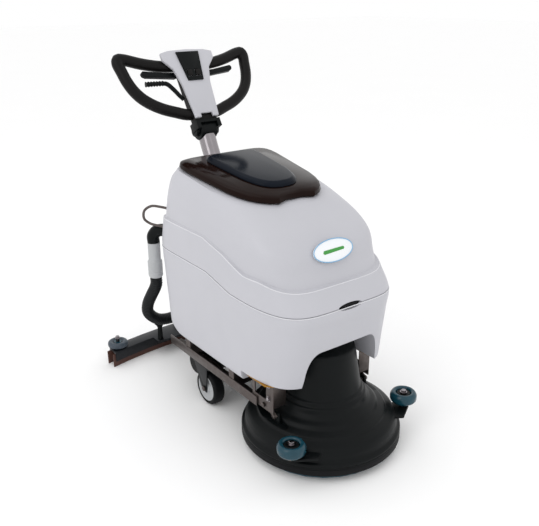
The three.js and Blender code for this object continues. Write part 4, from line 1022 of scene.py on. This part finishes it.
bars = [
    pipe("bar", smooth_path([leaning(side * x, 0, z) for x, z in loop_points], 0.006), BAR_RADIUS, 24)
    for side in (1, -1)
]
spine = leaning_block("moulded_loop_handle", (-42, -BAR_RADIUS, -1.5), (42, BAR_RADIUS, 235.5))
active(spine)
for bar in bars:
    bar.select_set(True)
bpy.ops.object.join()
loop = bpy.context.object
remesh = loop.modifiers.new("skin", "REMESH")
remesh.mode = "VOXEL"
remesh.voxel_size = 0.0026
apply_modifiers(loop)
relax = loop.modifiers.new("relax", "SMOOTH")
relax.factor = 0.5
relax.iterations = 5
apply_modifiers(loop)
smooth(loop, 60)
dress(loop, grip_rubber, "handle_head")
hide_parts("handle_loop")
print("handle", len(loop.data.polygons), "faces")

# %% Head, cover, panel and switches
barrel_profile = [(0, -32.5), (29, -32.5), (32, -30), (32, 30), (29, 32.5), (0, 32.5)]
barrel = turned("tilt_barrel", rounded_profile(barrel_profile, 2, 3), at(0, TILT_Y, TILT_Z), "X", 48)
dress(barrel, black_pp, "handle_head")
dress(rounded_copy("head_block", "tilt_head", 3.0, 4, 30), black_pp, "handle_head")
dress(
    rounded_copy("yoke_cover", "yoke_shell", 3.5, 4, 50), rotomoulded_pe, "handle_head",
)
dress(rounded_copy("control_panel", "switch_panel", 1.2, 3), black_pp, "handle_head")
for word in ("power", "water"):
    dress(
        rounded_copy(f"{word}_switch", f"{word}_rocker", 1.6, 3), grip_rubber, f"{word}_switch",
    )
for word in ("right", "left"):
    dress(
        rounded_copy(f"trigger_{word}", f"finger_trigger_{word}", 3.0, 4), black_pp, f"trigger_{word}",
    )

# %% Squeegee lever
lever_path = smooth_path(
    [
        leaning(*p)
        for p in (
            (-52, 0, 86), (-64, -2, 100), (-82, -4, 126), (-100, -4, 146), (-136, -3, 150), (-176, 0, 152),
        )
    ],
    0.0015,
)
teeth = []
for i in range(len(lever_path)):
    share = i / (len(lever_path) - 1)
    teeth.append(0.92 + 0.12 * share + (0.16 * math.cos(share * 2 * math.pi * 15) if share > 0.55 else 0))
lever = dress(pipe("serrated_lever", lever_path, 8, 20, teeth), black_pp, "squeegee_lever")
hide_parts("squeegee_lever")
print("lever", len(lever_path), "points")

# %% [markdown]
# ## Squeegee
#
# The squeegee is a bowed casting with a gum rubber strip behind and in front. Two black ball
# knobs clamp the strips, two rollers keep it off walls, and the hose drops into its nozzle.

# %% Squeegee
dress(rounded_copy("squeegee_body", "squeegee_casting", 1.0), cast_aluminium, "squeegee")
for word in ("front", "rear"):
    dress(
        rounded_copy(f"squeegee_blade_{word}", f"{word}_gum_strip", 0.5), gum_rubber, "squeegee",
    )
dress(rounded_copy("squeegee_arm", "squeegee_yoke", 0.8), powder_coat, "squeegee_arm")
roller_profile = [(16, 0), (31, 0), (38, 5), (38, 19), (31, 24), (25, 24), (16, 20), (16, 0)]
knob_profile = [(0, 0), (13, 0), (10, 8), (9, 50), (14, 60), (21, 66), (22, 76), (18, 84), (10, 88), (0, 88)]
for side, word in ((1, "right"), (-1, "left")):
    centre = at(side * 304, 853, 61)
    roller = turned(f"wall_roller_{word}", rounded_profile(roller_profile, 4, 4), centre, "Z", 56, 50)
    dress(roller, slate_nylon, f"squeegee_roller_{word}")
    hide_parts(f"squeegee_roller_{word}")
    core = turned(
        f"wall_roller_core_{word}", [(7.5, 1), (15.7, 1), (15.7, 21), (7.5, 21), (7.5, 1)], centre, "Z", 40,
    )
    dress(core, teal_urethane, f"squeegee_roller_{word}")
    bolt(f"wall_roller_bolt_{word}", at(side * 304, 853, 97), "Z", 13, 8, "squeegee")
    knob = turned(
        f"clamp_knob_{word}", rounded_profile(knob_profile, 4, 4), at(side * 140, 812, 60.3), "Z", 40, 60,
    )
    dress(knob, black_pp, "squeegee")
    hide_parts(f"squeegee_knob_{word}")
    cap = turned(
        f"knob_cap_{word}", [(0, 87), (10, 87), (11, 88.5), (8, 90), (0, 90.4)], at(side * 140, 812, 60.3),
        "Z", 32,
    )
    dress(cap, chrome_tube, "squeegee")

# %% [markdown]
# ## Tail of the tanks
#
# A black elbow leaves the tank and meets the grey cuff of the hose, a bent wire holds the drain
# hose, and a round cap closes the drain. The cap's grip is eight shallow ribs.

# %% Elbow, cuff, hook and drain cap
elbow_path = smooth_path(
    [at(CUFF_X, CUFF_Y, 528), at(CUFF_X, CUFF_Y, 552), at(-210, 640, 572), at(-160, 580, 574)], 0.005,
)
elbow = dress(pipe("tank_elbow_pipe", elbow_path, 22, 32), black_pp, "recovery_tank")
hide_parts("tank_elbow")
cuff_profile = [
    (0, 398), (23, 398), (26, 405), (26, 418), (24.5, 420), (26, 422), (26, 458), (22, 464), (22, 527.7),
    (0, 527.7),
]
cuff = dress(
    turned("hose_cuff_sleeve", rounded_profile(cuff_profile, 2, 3), at(CUFF_X, CUFF_Y, 0), "Z", 48),
    grey_nylon, "chassis",
)
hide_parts("hose_cuff")
hook_points = [
    (
        -197, 532, 668,
    ), (-217, 592, 670), (-237, 628, 668), (-254, 646, 650), (-255, 648, 622), (-241, 636, 606),
    (-219, 592, 602), (-197, 532, 604),
]
hook = dress(
    pipe("hose_hook_wire", smooth_path([at(*p) for p in hook_points], 0.004), 4.5, 16), zinc_plate,
    "recovery_tank",
)
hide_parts("hose_hook")
cap_profile = [(0, 0), (30, 0), (32, 4), (32, 18), (30, 20), (26, 21), (24, 24), (0, 24)]
cap = turned("drain_cap_moulding", rounded_profile(cap_profile, 2, 3), at(150, 623, 572), "Y", 64)
dress(cap, black_pp, "drain_cap")
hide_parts("drain_cap")
for i in range(8):
    turn = i * math.pi / 4
    middle = at(150 + 31.6 * math.cos(turn), 633, 572 + 31.6 * math.sin(turn))
    rib = block(
        f"cap_rib_{i}", middle - Vector((0.0016, 0.007, 0.0016)), middle + Vector((0.0016, 0.007, 0.0016)),
        0.8,
    )
    dress(rib, black_pp, "drain_cap")
print("tail pieces made")

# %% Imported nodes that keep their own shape
kept = {
    "battery_right": battery_case, "battery_left": battery_case, "vacuum_motor": black_pp,
    "solution_valve": black_pp, "lid_gasket": tyre_rubber, "float_cage": grey_nylon,
    "float_ball": grey_nylon, "brush_motor": powder_coat, "drive_hub": zinc_plate,
    "brush_disc": black_pp, "brush_bristles": bristle,
}
rest = {
    "white_polyethylene": rotomoulded_pe, "black_plastic": black_pp, "gloss_black_plastic": smoked_abs,
    "black_paint": powder_coat, "grey_steel": zinc_plate, "zinc_plated_steel": zinc_plate,
    "chromed_steel": chrome_tube, "black_rubber": tyre_rubber, "gum_rubber": gum_rubber,
    "teal_plastic": teal_urethane, "pale_grey_plastic": grey_nylon, "cast_aluminium": cast_aluminium,
}
for entry in frame["record"]["subparts"]:
    node = frame["nodes"][entry["node"]]
    material = kept.get(entry["node"], rest[entry["material_slot"]])
    if node.data.materials:
        for i in range(len(node.data.materials)):
            node.data.materials[i] = material
    else:
        node.data.materials.append(material)
print(len(kept), "packed nodes kept")

# %% Clear the selection
clear()
